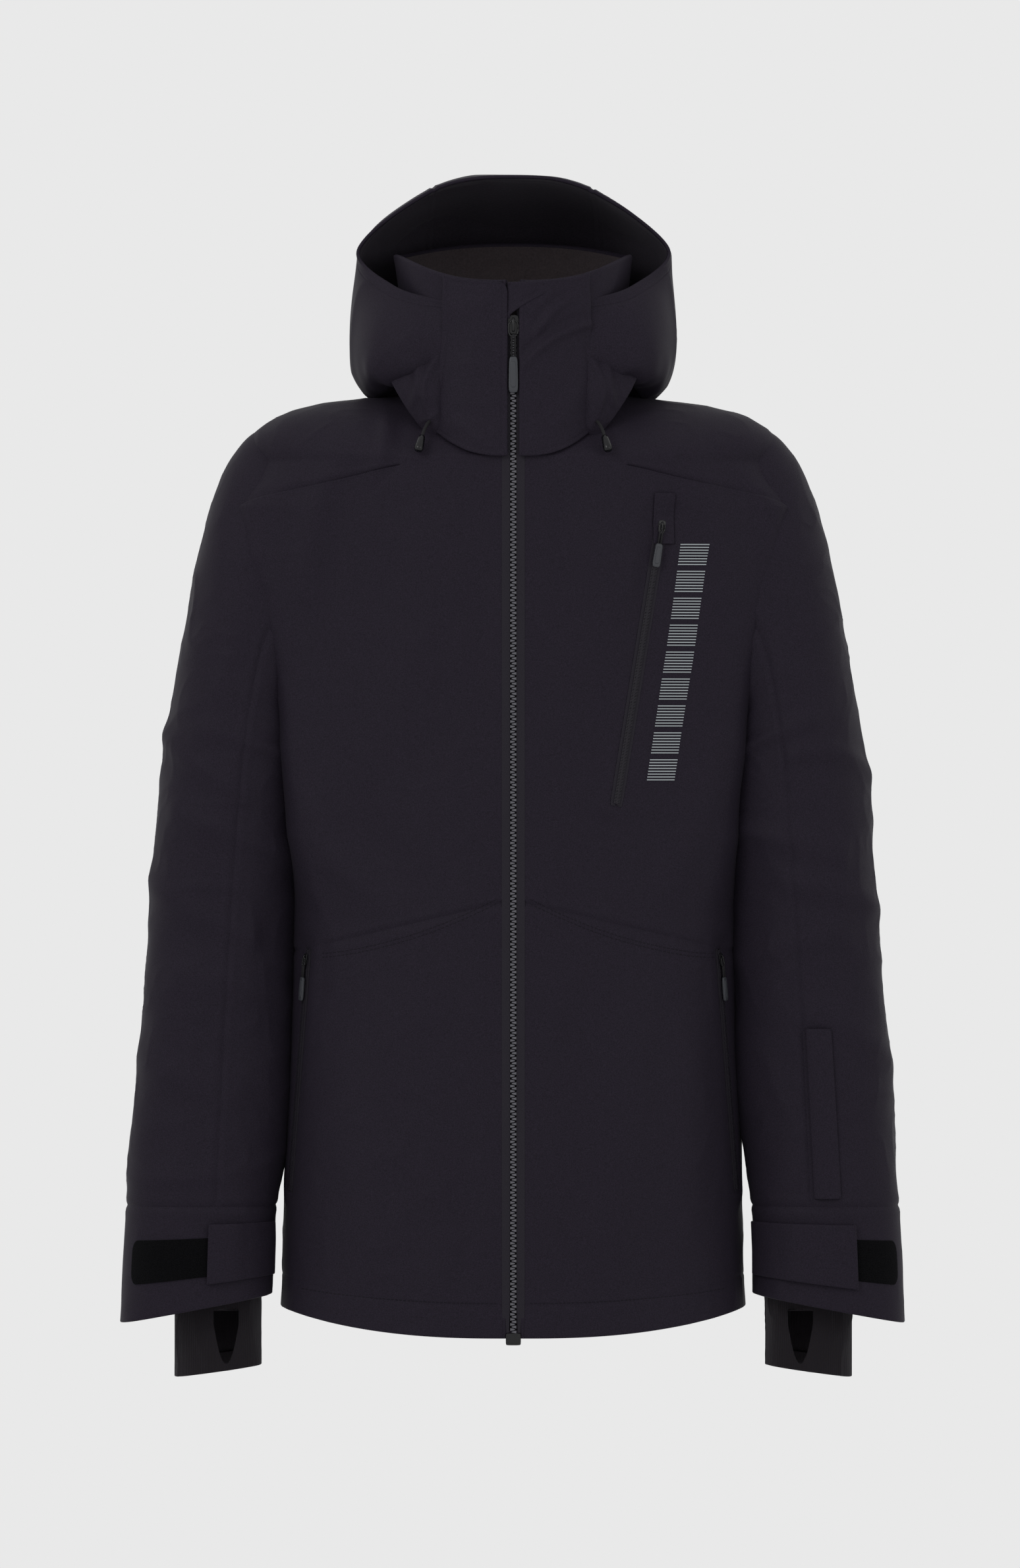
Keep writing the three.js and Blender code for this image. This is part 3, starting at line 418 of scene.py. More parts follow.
# A shape whose local axes are the rows of axes, moved to an origin.
def placed(shape, origin, axes):
    points, faces = shape
    return np.asarray(origin) + np.asarray(points).reshape(-1, 3) @ np.asarray(axes), faces


# The jacket's surfaces, as in the CAD source.

cut = {"length": 790, "armpit": 300, "chest": 177, "shoulder": 206, "neck": 86, "back": 118,
       "frontAtHem": 126, "lean": 0.032, "round": 0.833, "zipHalf": 10.2}
bodySpan = cut["length"] - cut["armpit"]
hem, pit, chest, shoulder, neck, back = (
    cut["length"], cut["armpit"], cut["chest"], cut["shoulder"], cut["neck"], cut["back"])
cadRings = [
    [-hem, -hem + 22, -hem - 12, chest + 19, back - 6],
    [-hem + 0.2 * bodySpan, -hem + 0.22 * bodySpan, -hem + 0.2 * bodySpan, chest + 16, back - 8],
    [-pit - 0.26 * bodySpan, -pit - 0.347 * bodySpan, -pit - 0.347 * bodySpan, chest + 9, back - 8],
    [-pit, -pit, -pit, chest, back],
    [-60, -112, -130, shoulder - 12, back - 4],
    [-59.6, -52, -74, shoulder, back - 14],
    [-59.2, -25, -42, shoulder - 20, back - 24],
    [-58.6, -11, -18, (shoulder + neck) / 2 + 2, back - 36],
    [-58, -3, 4, neck, back - 54],
]
# The cloth hangs wider than the rigid shell over the shoulders, as the sleeves are set low.
wider = [0, 0, 1, 4, 20, 18, 15, 7, 0]
bodyRings = [[*ring[:3], ring[3] + more, ring[4]] for ring, more in zip(cadRings, wider)]


# A superellipse coordinate: the size of a sine or cosine to the power of the rounding.
def bent(value):
    return np.abs(value) ** cut["round"]


# How far the front lies before the middle: it leans back evenly with height.
def frontLine(height):
    return cut["frontAtHem"] - cut["lean"] * (height + cut["length"])


# A superellipse section whose rings follow blended rows; the front half starts at the zip's edge.
def ringSurface(turn, front, side, rear, half, depth, zipEdge=None):
    edge = cut["zipHalf"] if zipEdge is None else zipEdge
    across, ahead = np.sin(np.radians(turn)), np.cos(np.radians(turn))
    height = side + (np.where(ahead > 0, front, rear) - side) * ahead**2
    x = np.where(ahead > 0, edge + (half - edge) * bent(across), half * bent(across))
    y = np.where(ahead > 0, -frontLine(height) * bent(ahead), depth * bent(ahead))
    return np.stack([np.sign(across + 1e-12) * x, y, height], axis=-1)


# The body: the superellipse ring at a turn about the vertical, its row blended by level, 0 at the hem and
# 8 at the neck.
def bodySurface(turn, level, rings=bodyRings):
    row = blendRows(rings, level)
    return ringSurface(turn, *np.moveaxis(row, -1, 0))


# The armhole edge of the cloth lies farther out than the shell's: heights and how far the cloth spreads.
armhole = {"heights": [-500, -430, -375, -299, -239, -184, -142, -100, -62],
           "spread": [0, 7, 27, 38, 38, 44, 50, 44, 0], "begins": 27, "edge": 52}


# The angle of a turn from the front or the back, 0 to 90 degrees.
def leadAngle(turn):
    return np.degrees(np.arcsin(np.clip(np.abs(np.sin(np.radians(turn))), 0, 1)))


# How far the cloth spreads sideways: it rises with the lead angle to the armhole's edge, falls beyond it,
# and is scaled by height.
def armholeSpread(turn, z):
    lead = leadAngle(turn)
    share = smoothStep(armhole["begins"], armhole["edge"], lead) - 0.8 * smoothStep(armhole["edge"], 86, lead)
    return share * np.interp(z, armhole["heights"], armhole["spread"])


collarSize = {"front": 86, "side": 111, "back": 124, "flare": 14}


# The collar: the neck's ring carried up by a rise from 0 to 1, widening evenly, to a top that is lower in
# front.
def collarSurface(turn, rise):
    base = bodySurface(turn, np.full(np.shape(turn), 8.0))
    ahead = np.cos(np.radians(turn))
    c = collarSize
    top = c["side"] + (np.where(ahead > 0, c["front"], c["back"]) - c["side"]) * ahead**2
    height = base[..., 2] + (top - base[..., 2]) * rise
    across = np.sin(np.radians(turn))
    half = neck + c["flare"] * rise
    edge = cut["zipHalf"]
    x = np.where(ahead > 0, edge + (half - edge) * bent(across), half * bent(across))
    y = np.where(ahead > 0, -frontLine(height) * bent(ahead), (back - 54 - 4 * rise) * bent(ahead))
    return np.stack([np.sign(across + 1e-12) * x, y, height], axis=-1)


sleeveLength = 736
cuffZ = -45 - sleeveLength
armSpan = cuffZ + 275
sleeveRings = [
    [chest - 57, -262, shoulder - 56, -23, 66, 0],
    [chest + 1, -285, shoulder + 6, -34, 72, 0],
    [chest + 3, -291, shoulder + 29, -55, 74, 0],
    [chest + 5, -297, shoulder + 47, -93, 75, -1],
    [chest + 6, -305, shoulder + 64, -165, 75, -3],
    [chest + 8, -325, shoulder + 81, -262, 74, -6],
    [chest + 11, -275 + 0.2 * armSpan, shoulder + 92, -275 + 0.15 * armSpan, 70, -9],
    [chest + 16, -275 + 0.38 * armSpan, shoulder + 101, -275 + 0.38 * armSpan, 65, -12],
    [chest + 20, -275 + 0.6 * armSpan, shoulder + 110, -275 + 0.6 * armSpan, 61, -15],
    [chest + 23, cuffZ + 97, shoulder + 118, cuffZ + 97, 57, -20],
    [chest + 24, cuffZ + 24, shoulder + 123, cuffZ, 55, -22],
]
cuffLevel = 9


# A ring across the sleeve: a superellipse between its inner and outer points and its depth.
def section(ring, around, offset=0.0):
    inX, inZ, outX, outZ, deep, middle = np.moveaxis(ring, -1, 0)
    length = np.hypot(outX - inX, outZ - inZ)
    stepX, stepZ = offset * (outX - inX) / length, offset * (outZ - inZ) / length
    inX, inZ, outX, outZ, deep = inX - stepX, inZ - stepZ, outX + stepX, outZ + stepZ, deep + offset
    c, s = np.cos(np.radians(around)), np.sin(np.radians(around))
    out, rear = np.sign(c) * bent(c), np.sign(s) * bent(s)
    return np.stack([(inX + outX) / 2 + (outX - inX) / 2 * out, middle + deep * rear,
                     (inZ + outZ) / 2 + (outZ - inZ) / 2 * out], axis=-1)


# The sleeve: the section at a blended row, with around from 0 outside by 90 at the back to 180 inside.
def sleeveSurface(around, level, offset=0.0):
    return section(blendRows(sleeveRings, level), around, offset)


# Where a point lies against the body.

# The level and turn of the body's ring through each point's height and bearing, found by halving, and
# how far out the point lies: under 1 is inside the body.
def bodyPlace(points):
    x, y, z = np.abs(points[..., 0]), points[..., 1], points[..., 2]
    low, high = np.zeros(x.shape), np.full(x.shape, 8.0)
    power = 1 / cut["round"]
    for _ in range(22):
        level = (low + high) / 2
        front, side, rear, half, depth = np.moveaxis(blendRows(bodyRings, level), -1, 0)
        reach = np.where(y < 0, frontLine(z), depth)
        edge = np.where(y < 0, cut["zipHalf"], 0.0)
        across = np.clip((x - edge) / (half - edge), 0, None) ** power
        ahead = (np.abs(y) / reach) ** power
        turn = np.arctan2(across, ahead)
        height = side + (np.where(y < 0, front, rear) - side) * np.cos(turn) ** 2
        higher = height < z
        low, high = np.where(higher, level, low), np.where(higher, high, level)
    radius = np.hypot(across, ahead) ** (1 / power)
    return level, np.degrees(np.where(y < 0, turn, np.pi - turn)), radius


# The turn and level of the front at a distance from the centre line and a height, by halving.
def frontSpot(x, z, rings=bodyRings):
    x, z = np.broadcast_arrays(np.asarray(x, float), np.asarray(z, float))
    low, high = np.zeros(x.shape), np.full(x.shape, 8.0)
    for _ in range(26):
        level = (low + high) / 2
        row = blendRows(rings, level)
        half = row[..., 3]
        inner = x
        for _ in range(14 if rings is bodyRings else 0):
            share = np.clip((inner - cut["zipHalf"]) / (half - cut["zipHalf"]), 0, 1) ** (1 / cut["round"])
            inner = 0.6 * inner + 0.4 * (x - armholeSpread(np.degrees(np.arcsin(share)), z))
        share = np.clip((inner - cut["zipHalf"]) / (half - cut["zipHalf"]), 0, 1) ** (1 / cut["round"])
        turn = np.degrees(np.arcsin(share))
        height = row[..., 1] + (row[..., 0] - row[..., 1]) * (1 - share**2)
        low, high = np.where(height < z, level, low), np.where(height < z, high, level)
    return turn, level


# Zip frames.

zips = {"chest": ([123, -117], [86, -346]), "hand": ([172, -478], [187, -668])}


# A frame whose rows are across, inward and up, on a straight line from bottom to top, with the body's
# outward direction. Returns origin, axes and length.
def lineFrame(top, bottom, outward):
    up = unit(top - bottom)
    inward = -outward
    inward = unit(inward - up * (inward @ up))
    return top, np.stack([np.cross(inward, up), inward, up]), np.linalg.norm(top - bottom)


# The outward normal of the shell from differences along turn and level.
def bodyNormal(turn, level):
    step = 0.5
    du = bodySurface(turn + step, level, cadRings) - bodySurface(turn - step, level, cadRings)
    dv = bodySurface(turn, level + 0.02, cadRings) - bodySurface(turn, level - 0.02, cadRings)
    return unit(np.cross(du, dv))


# A pocket zip's frame: its ends are looked up on the shell, and mirrored for the other side.
def pocketFrame(name, side):
    ends = [frontSpot(*spot, cadRings) for spot in zips[name]]
    places = [bodySurface(turn, level, cadRings) for turn, level in ends]
    outward = unit(sum(bodyNormal(turn, level) for turn, level in ends))
    flip = np.array([side, 1, 1])
    return lineFrame(places[0] * flip, places[1] * flip, outward * flip)


zipFrames = {"chest": pocketFrame("chest", 1), "handLeft": pocketFrame("hand", 1),
             "handRight": pocketFrame("hand", -1)}


# Pulls cloth near a pocket zip into the zip's plane: within its tape fully, and less out to a margin.
def settle(points, zipFrame, sink=0.7, near=5.5, far=24.0):
    origin, axes, length = zipFrame
    local = (points - origin) @ axes.T
    beyond = np.maximum(np.maximum(local[..., 2] - 10, -length - 5 - local[..., 2]), 0)
    gap = np.hypot(np.maximum(np.abs(local[..., 0]) - near, 0), beyond)
    weight = 1 - smoothStep(0, far - near, gap)
    close = np.abs(local[..., 1]) < 30
    trough = sink * (1 - smoothStep(0, 1.6, gap))
    local[..., 1] = np.where(close, local[..., 1] * (1 - weight) + trough, local[..., 1])
    return local @ axes + origin


# Body.

grooveDepth = 1.1
frontSeam, yokeSeam = 2, 4  # the levels of the slanted seam and of the yoke's
yokeTip, yokeLean = 20.0, 13.0  # the turn at which the yoke's seam begins, and how far it leans by the neck
hemTuck = 26  # from the hem's edge to its stitching line


# A seam: a narrow Gaussian trough between two low shoulders.
def groove(distance, width=2.2):
    shoulders = 0.35 * np.exp(-(((np.abs(distance) - 5) / 3) ** 2))
    return shoulders - grooveDepth * np.exp(-((distance / width) ** 2))


# Folds drawn as lines in the front or back view: each has two ends (x, z), a width, a height and a bow.
# Its cross-section is a crest with a shallower trough beside it.
def foldField(x, z, folds):
    total = np.zeros(x.shape)
    for x0, z0, x1, z1, width, height, bow in folds:
        dx, dz = x1 - x0, z1 - z0
        length = np.hypot(dx, dz)
        along = ((x - x0) * dx + (z - z0) * dz) / length**2
        across = ((x - x0) * -dz + (z - z0) * dx) / length - bow * 4 * along * (1 - along)
        fade = smoothStep(-0.15, 0.25, along) * (1 - smoothStep(0.7, 1.15, along))
        q = across / width
        total += height * fade * (np.exp(-q * q) - 0.45 * np.exp(-((q - 1.7) ** 2)))
    return total


frontFolds = [
    [-105, -20, -118, -80, 7, 3.0, 4], [-150, -60, -172, -190, 14, 3.5, -8],
    [-60, -90, -130, -330, 26, 2.2, 14], [-30, -480, -20, -700, 20, 2.4, 8],
    [-140, -560, -110, -760, 24, 3.0, -10], [-75, -600, -60, -770, 15, 2.0, 6],
    [-170, -330, -120, -430, 16, 3.0, -8], [-165, -380, -90, -460, 18, 2.4, 8],
    [-40, -130, -30, -300, 14, 1.5, -4],
    [40, -470, 32, -690, 17, 2.6, -6], [95, -520, 70, -760, 24, 2.8, 10], [150, -520, 145, -700, 17, 3.0, -6],
    [60, -60, 120, -190, 24, 1.8, -10], [165, -300, 110, -440, 18, 3.4, 10],
    [150, -60, 176, -200, 15, 3.5, 8],
    [40, -200, 30, -420, 17, 1.6, 5], [30, -75, 22, -200, 9, 1.4, -3], [-28, -75, -20, -170, 8, 1.3, 3],
]
backFolds = [
    [-120, -120, -60, -420, 30, 3.5, 16], [110, -130, 70, -430, 28, 3.2, -14],
    [0, -60, 10, -300, 26, 2.4, 8], [-150, -420, -80, -560, 20, 3.5, 10],
    [150, -400, 90, -560, 20, 3.5, -10], [-60, -520, -70, -770, 24, 3.2, 6],
    [60, -540, 66, -780, 22, 3.0, -8], [130, -560, 140, -770, 20, 3.2, 5],
    [-135, -560, -140, -770, 22, 2.8, -5],
]


# The cloth of the body: spread at the armhole, its slanted seam straightened, then lifted along the normals
# by folds, wrinkles, seams and the hem's stitching line.
def bodyShape(points, normals, turn, level, rear):
    side = np.sign(points[..., 0])
    points = points.copy()
    points[..., 0] += side * armholeSpread(turn, points[..., 2])
    if not rear:
        cosine = np.cos(np.radians(turn)) ** 2
        front, edge = bodySurface(0 * turn, level)[..., 2], bodySurface(0 * turn + 90, level)[..., 2]
        reach = np.clip(np.abs(points[..., 0]) / 182, 0, 1)
        points[..., 2] += (front - edge) * ((1 - reach) - cosine) * np.exp(-(((level - 2) / 0.4) ** 2))
    x, z = points[..., 0], points[..., 2]
    folds = foldField(x, z, backFolds if rear else frontFolds)
    calm = smoothStep(8, 40, np.abs(x)) if not rear else 1.0
    small = 0.9 * wrinkles(points, 46, (1.0, 1.0, 2.1), 3.0)
    small = small + 0.55 * wrinkles(points, 21, (1.0, 1.0, 1.5), 9.0)
    broad = 2.2 * layeredNoise(points * [1, 1, 0.6], 120, 2)
    rough = (small + broad) * calm
    overHem = z - bodySurface(turn, np.zeros(turn.shape))[..., 2]
    nearHem = 1 - smoothStep(0, hemTuck, overHem)
    rough = rough * (1 - 0.5 * nearHem)
    seamLow = (level - frontSeam) * np.where(level > frontSeam, 230, 122)
    aboveYoke = level - yokeSeam
    seamYoke = np.where(turn > yokeTip, aboveYoke * np.where(aboveYoke > 0, 30, 200), 99)
    field = folds * calm + rough + groove(seamLow)
    if rear:
        field = folds + rough + groove(aboveYoke * np.where(aboveYoke > 0, 50, 170))
    else:
        field = field + groove(seamYoke, 2.0)
    field = field - 0.5 * np.exp(-(((overHem - hemTuck) / 1.4) ** 2))
    scale = np.interp(z, armhole["heights"], armhole["spread"]) / 50
    lip = scale * np.exp(-(((leadAngle(turn) - armhole["edge"] + 3) / 7) ** 2))
    field = field + 3.0 * lip
    return points + normals * field[..., None]


frontCounts = (124, 430)


# Levels from hem to neck, closer together in the yoke and at the hem.
def bodyLevels(count):
    return np.interp(np.linspace(0, 1, count), [0, 0.13, 0.42, 0.66, 0.86, 1], [0, 1, 2, 3, yokeSeam, 8])


# The front on one side: turns run from the zip's edge to the side, and levels from the hem to the neck.
# Above the yoke level the grid leans so that one of its lines is the seam between yoke and front.
def frontGrid(side):
    share = np.linspace(0, 1, frontCounts[0]) ** 1.12
    levels = bodyLevels(frontCounts[1])
    level = np.broadcast_to(levels, (len(share), len(levels)))
    turn = np.broadcast_to(90 * share[:, None], level.shape)
    lean = yokeLean * np.clip((level - yokeSeam) / 4, 0, 1)
    start = yokeTip + lean
    beyond = start + (turn - yokeTip) / (90 - yokeTip) * (90 - start)
    turn = np.where(turn < yokeTip, turn / yokeTip * start, beyond)
    points = bodySurface(turn, level)
    normals = gridNormals(points)
    mirror = np.array([side, 1, 1])
    points, normals = points * mirror, normals * mirror
    shaped = bodyShape(points, normals, turn, level, False)
    for name in ("chest", "handLeft") if side > 0 else ("handRight",):
        shaped = settle(shaped, zipFrames[name])
    return shaped, turn, level, start


zipEdgeAt = 5.6


# One side of the front: the zip's edge and the hem are rolled in, and the seams cut it into lower, upper
# and yoke.
def buildFront(side):
    name = sideName[side]
    points, turn, level, start = frontGrid(side)
    extra = points[:1].copy()
    extra[..., 0] = side * zipEdgeAt
    extra[..., 1] += 0.2
    turn = np.concatenate([turn[:1] - 1, turn])
    rolled = rollEdge(np.concatenate([extra, points]), side, 1.8, 3.0, start=True)
    full = rollColumns(rolled, side, 2.2, 16, start=True)
    turn, level, start = (grown(values, full[..., 0]) for values in (turn, level, start))
    faces = gridFaces(*full.shape[:2])
    height = faceMeans(level, faces)
    isLow = height < frontSeam
    isYoke = (height > yokeSeam) & (faceMeans(turn, faces) > faceMeans(start, faces))
    keys = {"front_lower_": isLow, "front_yoke_": isYoke, "front_upper_": ~isLow & ~isYoke}
    for key, mask in keys.items():
        meshPiece(pieceName(key + name), full, faces[mask], "shellCloth", nodes=[key + name], flip=side < 0)


# The back: the same surface from side to side, cut into panel and yoke by level.
def buildBack():
    turn, level = np.meshgrid(np.linspace(90, 270, 240), bodyLevels(400), indexing="ij")
    points = bodySurface(turn, level)
    points = bodyShape(points, gridNormals(points), turn, level, True)
    full = rollColumns(points, 1, 2.2, 16, start=True)
    faces = gridFaces(*full.shape[:2])
    lower = faceMeans(grown(level, full[..., 0]), faces) < yokeSeam
    meshPiece("BackPanel", full, faces[lower], "shellCloth", nodes=["back_panel"])
    meshPiece("BackYoke", full, faces[~lower], "shellCloth", nodes=["back_yoke"])


buildFront(1)
buildFront(-1)
buildBack()
print("body")

# Sleeves.

# The two seams' places round the sleeve.
sleeveSeams = (-100, 80)
# Folds by side, each with two ends (share round the front, level), a width and a height.
sleeveFolds = {
    1: [[0.10, 4.3, 0.55, 4.9, 0.10, 3.2], [0.5, 5.2, 0.95, 5.7, 0.09, 3.0],
        [0.15, 5.9, 0.62, 6.3, 0.10, 3.6], [0.42, 6.5, 0.92, 6.75, 0.08, 3.0],
        [0.12, 7.1, 0.6, 6.9, 0.09, 2.6], [0.5, 7.5, 0.95, 7.9, 0.10, 2.4]],
    -1: [[0.12, 4.5, 0.6, 5.1, 0.11, 3.0], [0.45, 5.6, 0.95, 5.3, 0.10, 2.8],
         [0.1, 6.2, 0.7, 6.0, 0.10, 3.4], [0.35, 6.9, 0.95, 6.5, 0.09, 3.0],
         [0.1, 7.4, 0.62, 7.2, 0.09, 2.4], [0.4, 8.1, 0.9, 7.8, 0.10, 2.0]],
}


# The sleeve's cloth: wrinkles, folds as Gaussian ridges about lines, two seams, and a bulge towards the body.
def sleeveShape(points, normals, around, level, side):
    nearCuff = smoothStep(8.7, cuffLevel, level)
    low = 1 - smoothStep(2.2, 3.4, level)
    field = 1.6 * wrinkles(points, 52, (1.0, 1.0, 1.1), 4.0 * side)
    field = field + 0.7 * wrinkles(points, 22, (1.3, 1, 0.9), 2.0)
    field = field + 2.4 * layeredNoise(points, 110, 2)
    front = ((around % 360) - 180) / 180  # 0 at the body side round the front to 1 at the outer side
    for u0, v0, u1, v1, width, height in sleeveFolds[side]:
        along = ((front - u0) * (u1 - u0) + (level - v0) * (v1 - v0)) / ((u1 - u0) ** 2 + (v1 - v0) ** 2)
        spot = np.clip(along, 0, 1)
        gap = np.hypot((front - u0 - spot * (u1 - u0)) * 1.3, (level - v0 - spot * (v1 - v0)) * 0.75) / width
        field = field + height * np.exp(-gap * gap)
    field = field * (1 - 0.75 * low) * (1 - 0.5 * nearCuff)
    for seam in sleeveSeams:
        bearing = (around - seam + 180) % 360 - 180
        field = field + groove(bearing * 1.15) * (level < cuffLevel)
    field = field + groove((level - cuffLevel) * 85, 1.8)
    facing = np.exp(-(((around - 180) / 34) ** 2))
    field = field + 12.0 * facing * smoothStep(3.0, 4.0, level) * (1 - smoothStep(8.0, 9.2, level))
    return points + normals * field[..., None]


# The sleeve, its end rolled in, without the faces that lie inside the body, cut into outer, under and cuff.
def buildSleeve(side):
    name = sideName[side]
    around, level = spread((sleeveSeams[0], sleeveSeams[0] + 360, 217), (0.6, 10, 330))
    points = sleeveSurface(around, level) * [side, 1, 1]
    normals = gridNormals(points, -side)
    points = sleeveShape(points, normals, around, level, side)
    points[-1] = points[0]
    full = rollColumns(points, -side, 2.4, 18)
    extra = full.shape[1] - points.shape[1]
    around = np.concatenate([around, np.repeat(around[:, -1:], extra, 1)], 1)
    level = np.concatenate([level, np.repeat(level[:, -1:] + 1, extra, 1)], 1)
    radius = bodyPlace(full)[2]
    faces = gridFaces(*full.shape[:2])
    buried = (radius.ravel()[faces].max(1) < 0.88) & (faceMeans(level, faces) < 5)
    cuff = faceMeans(level, faces) > cuffLevel
    outer = faceMeans(around, faces) < sleeveSeams[1]
    seen = ~cuff & ~buried
    keys = {"sleeve_outer_": outer & seen, "sleeve_under_": ~outer & seen, "cuff_": cuff}
    for key, mask in keys.items():
        meshPiece(pieceName(key + name), full, faces[mask], "shellCloth", nodes=[key + name], flip=side > 0)


buildSleeve(1)
buildSleeve(-1)
print("sleeves")

# Collar.

# How far each lining lies inside the outer surface.
liningGap = {"collar": 6.4, "body": 6.6, "skirt": 10.0, "sleeve": 4.4}


# Half of the standing collar, from the zip to the back, with its top rolled in.
def buildCollar(side):
    name = sideName[side]
    turn, rise = spread((0, 180, 150), (-0.03, 1, 74))
    points = collarSurface(turn, np.maximum(rise, 0))
    points[..., 2] += 100 * np.minimum(rise, 0)
    normals = gridNormals(points)
    mirror = np.array([side, 1, 1])
    points, normals = points * mirror, normals * mirror
    field = 0.8 * wrinkles(points, 34, (1, 1, 1.4), 6.0) + 1.2 * layeredNoise(points, 70, 2)
    field = field * smoothStep(0, 0.15, rise) * smoothStep(4, 20, np.abs(points[..., 0]))
    points = points + normals * field[..., None]
    extra = points[:1].copy()
    extra[..., 0] = side * zipEdgeAt
    points = rollEdge(np.concatenate([extra, points]), side, 1.8, 3, start=True)
    gridPiece("CollarOuter" + name.title(), rollColumns(points, side, 3.6, 8), "shellCloth",
              nodes=["collar_outer_" + name], flip=side < 0)


# The collar's lining: the collar drawn in by an even offset and small wrinkles.
def buildCollarLining():
    turn, rise = spread((0, 360, 220), (-0.12, 0.99, 60))
    points = collarSurface(turn, rise)
    normals = gridNormals(points)
    field = -liningGap["collar"] + 0.9 * wrinkles(points, 24, (1, 1, 1), 2.0)
    field = field + 0.9 * layeredNoise(points, 30, 2)
    points = points + normals * field[..., None]
    gridPiece("CollarLining", points, "tricot", nodes=["collar_lining"], flip=True)


buildCollar(1)
buildCollar(-1)
buildCollarLining()
print("collar")

# Hood.

chinX = 52
hoodSize = {"top": 178, "half": 131, "back": 165, "hingeY": 131.5, "hingeZ": 32, "slope": 22.7,
            "seam": 0.25, "wall": 3.2, "bend": 22}


# How far forward the hood's edge lies at the chin: the collar's front at chinX, and a little before it.
def chinDepth(z):
    half = neck + collarSize["flare"] * (z + 50) / (collarSize["front"] + 50)
    across = ((chinX - cut["zipHalf"]) / (half - cut["zipHalf"])) ** (1 / cut["round"])
    return -frontLine(z) * bent(np.sqrt(1 - across * across)) - 1.6


h = hoodSize
hoodStations = np.array([
    [[0, 100, -2], [0, h["back"], 40], [0, h["back"] - 25, h["top"] + 12], [0, -42, h["top"]]],
    [[66, 90, -3], [84, h["back"] - 17, 38], [74, h["back"] - 37, h["top"] + 2], [66, -38, h["top"] - 11]],
    [[h["half"] - 21, 24, -16], [h["half"] + 19, 46, 8], [h["half"] - 1, 44, 112], [h["half"], -12, 118]],
    [[96, -44, 8], [138, -88, -4], [118, -72, 60], [101, -56, 85]],
    [[chinX, chinDepth(z), z] for z in (16, 26, 50, 68)],
])
hoodPosts = np.concatenate([hoodStations[:0:-1] * [-1, 1, 1], hoodStations])


# Catmull-Rom curves through the stations for each control point, then a cubic Bezier over them.
def hoodSurface(across, over):
    place = (across + 1) / 2 * (len(hoodPosts) - 1)
    k = np.clip(np.floor(place).astype(int), 0, len(hoodPosts) - 2)
    t = (place - k)[..., None, None]
    ends = np.concatenate([2 * hoodPosts[:1] - hoodPosts[1:2], hoodPosts,
                           2 * hoodPosts[-1:] - hoodPosts[-2:-1]])
    p0, p1, p2, p3 = ends[k], ends[k + 1], ends[k + 2], ends[k + 3]
    controls = 0.5 * (2 * p1 + (p2 - p0) * t + (2 * p0 - 5 * p1 + 4 * p2 - p3) * t**2
                      + (3 * p1 - p0 - 3 * p2 + p3) * t**3)
    s = over[..., None]
    r = 1 - s
    a, b, c, d = (controls[..., i, :] for i in range(4))
    return a * r**3 + 3 * b * r * r * s + 3 * c * r * s * s + d * s**3


# The hood: its surface lifted by folds and seams and rippled at the lower lips, its rims turned under, cut
# into crown and base at the fold plane, with a lining a wall's thickness inside.
def buildHood():
    across, over = spread((-1, 1, 330), (0, 1, 170))
    points = hoodSurface(across, over)
    normals = gridNormals(points, -1)
    field = 2.0 * wrinkles(points, 55, (1.2, 1, 1), 8.0) + 2.4 * layeredNoise(points, 90, 2)
    rim = smoothStep(1, 0.93, over) * smoothStep(0.0, 0.06, over)
    ends = smoothStep(1, 0.94, np.abs(across))
    field = field * (0.25 + 0.75 * rim) * ends
    for seam in (-h["seam"], h["seam"]):
        field = field + groove((across - seam) * 520)
    field = field - 0.6 * np.exp(-(((over - 0.91) * 260 / 1.6) ** 2))
    lobe = smoothStep(0.5, 0.72, np.abs(across)) * smoothStep(1.0, 0.88, np.abs(across))
    lip = lobe * (1 - smoothStep(0.05, 0.5, over))
    ripple = np.sin(np.abs(across) * 46 + 0.9 * np.sign(across)) + 0.6 * np.sin(np.abs(across) * 83 + 2)
    points = points + normals * (field + 3.6 * lip * ripple)[..., None]
    points[..., 2] += 5.0 * lip * ripple - 5.0 * lobe * (1 - smoothStep(0.1, 0.6, over))
    inner = points - gridNormals(points, -1) * h["wall"]
    outer = rollColumns(rollColumns(points, -1, 3.0, 1.0), -1, 3.0, 1.0, start=True)
    faces = gridFaces(*outer.shape[:2])
    acrossAll = np.broadcast_to(across[:, :1], outer.shape[:2])
    height = outer[..., 2] - h["hingeZ"] + np.tan(np.radians(h["slope"])) * (outer[..., 1] - h["hingeY"])
    up = faceMeans(height, faces) > 0
    sideOf = faceMeans(acrossAll, faces)
    masks = {
        "HoodBaseRight": (~up & (sideOf < 0), ["hood_base_right"]),
        "HoodBaseLeft": (~up & (sideOf >= 0), ["hood_base_left"]),
        "HoodCrownCentre": (up & (np.abs(sideOf) < h["seam"]), ["hood_crown_centre"]),
        "HoodCrownRight": (up & (sideOf <= -h["seam"]), ["hood_crown_right"]),
        "HoodCrownLeft": (up & (sideOf >= h["seam"]), ["hood_crown_left"]),
    }
    for name, (mask, nodes) in masks.items():
        piece = meshPiece(name, outer, faces[mask], "shellCloth", nodes=nodes, flip=True, ride=False)
        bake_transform(piece)
    piece = gridPiece("HoodLining", inner, "liningCloth", ride=False)
    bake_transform(piece)


buildHood()
print("hood")

# Collar overlays.


# The collar's turn at a distance from the centre line: the ring's formula solved for the sine.
def collarSpot(x, rise):
    half = neck + collarSize["flare"] * rise
    share = np.clip((x - cut["zipHalf"]) / (half - cut["zipHalf"]), 0, 1)
    return np.degrees(np.arcsin(share ** (1 / cut["round"])))


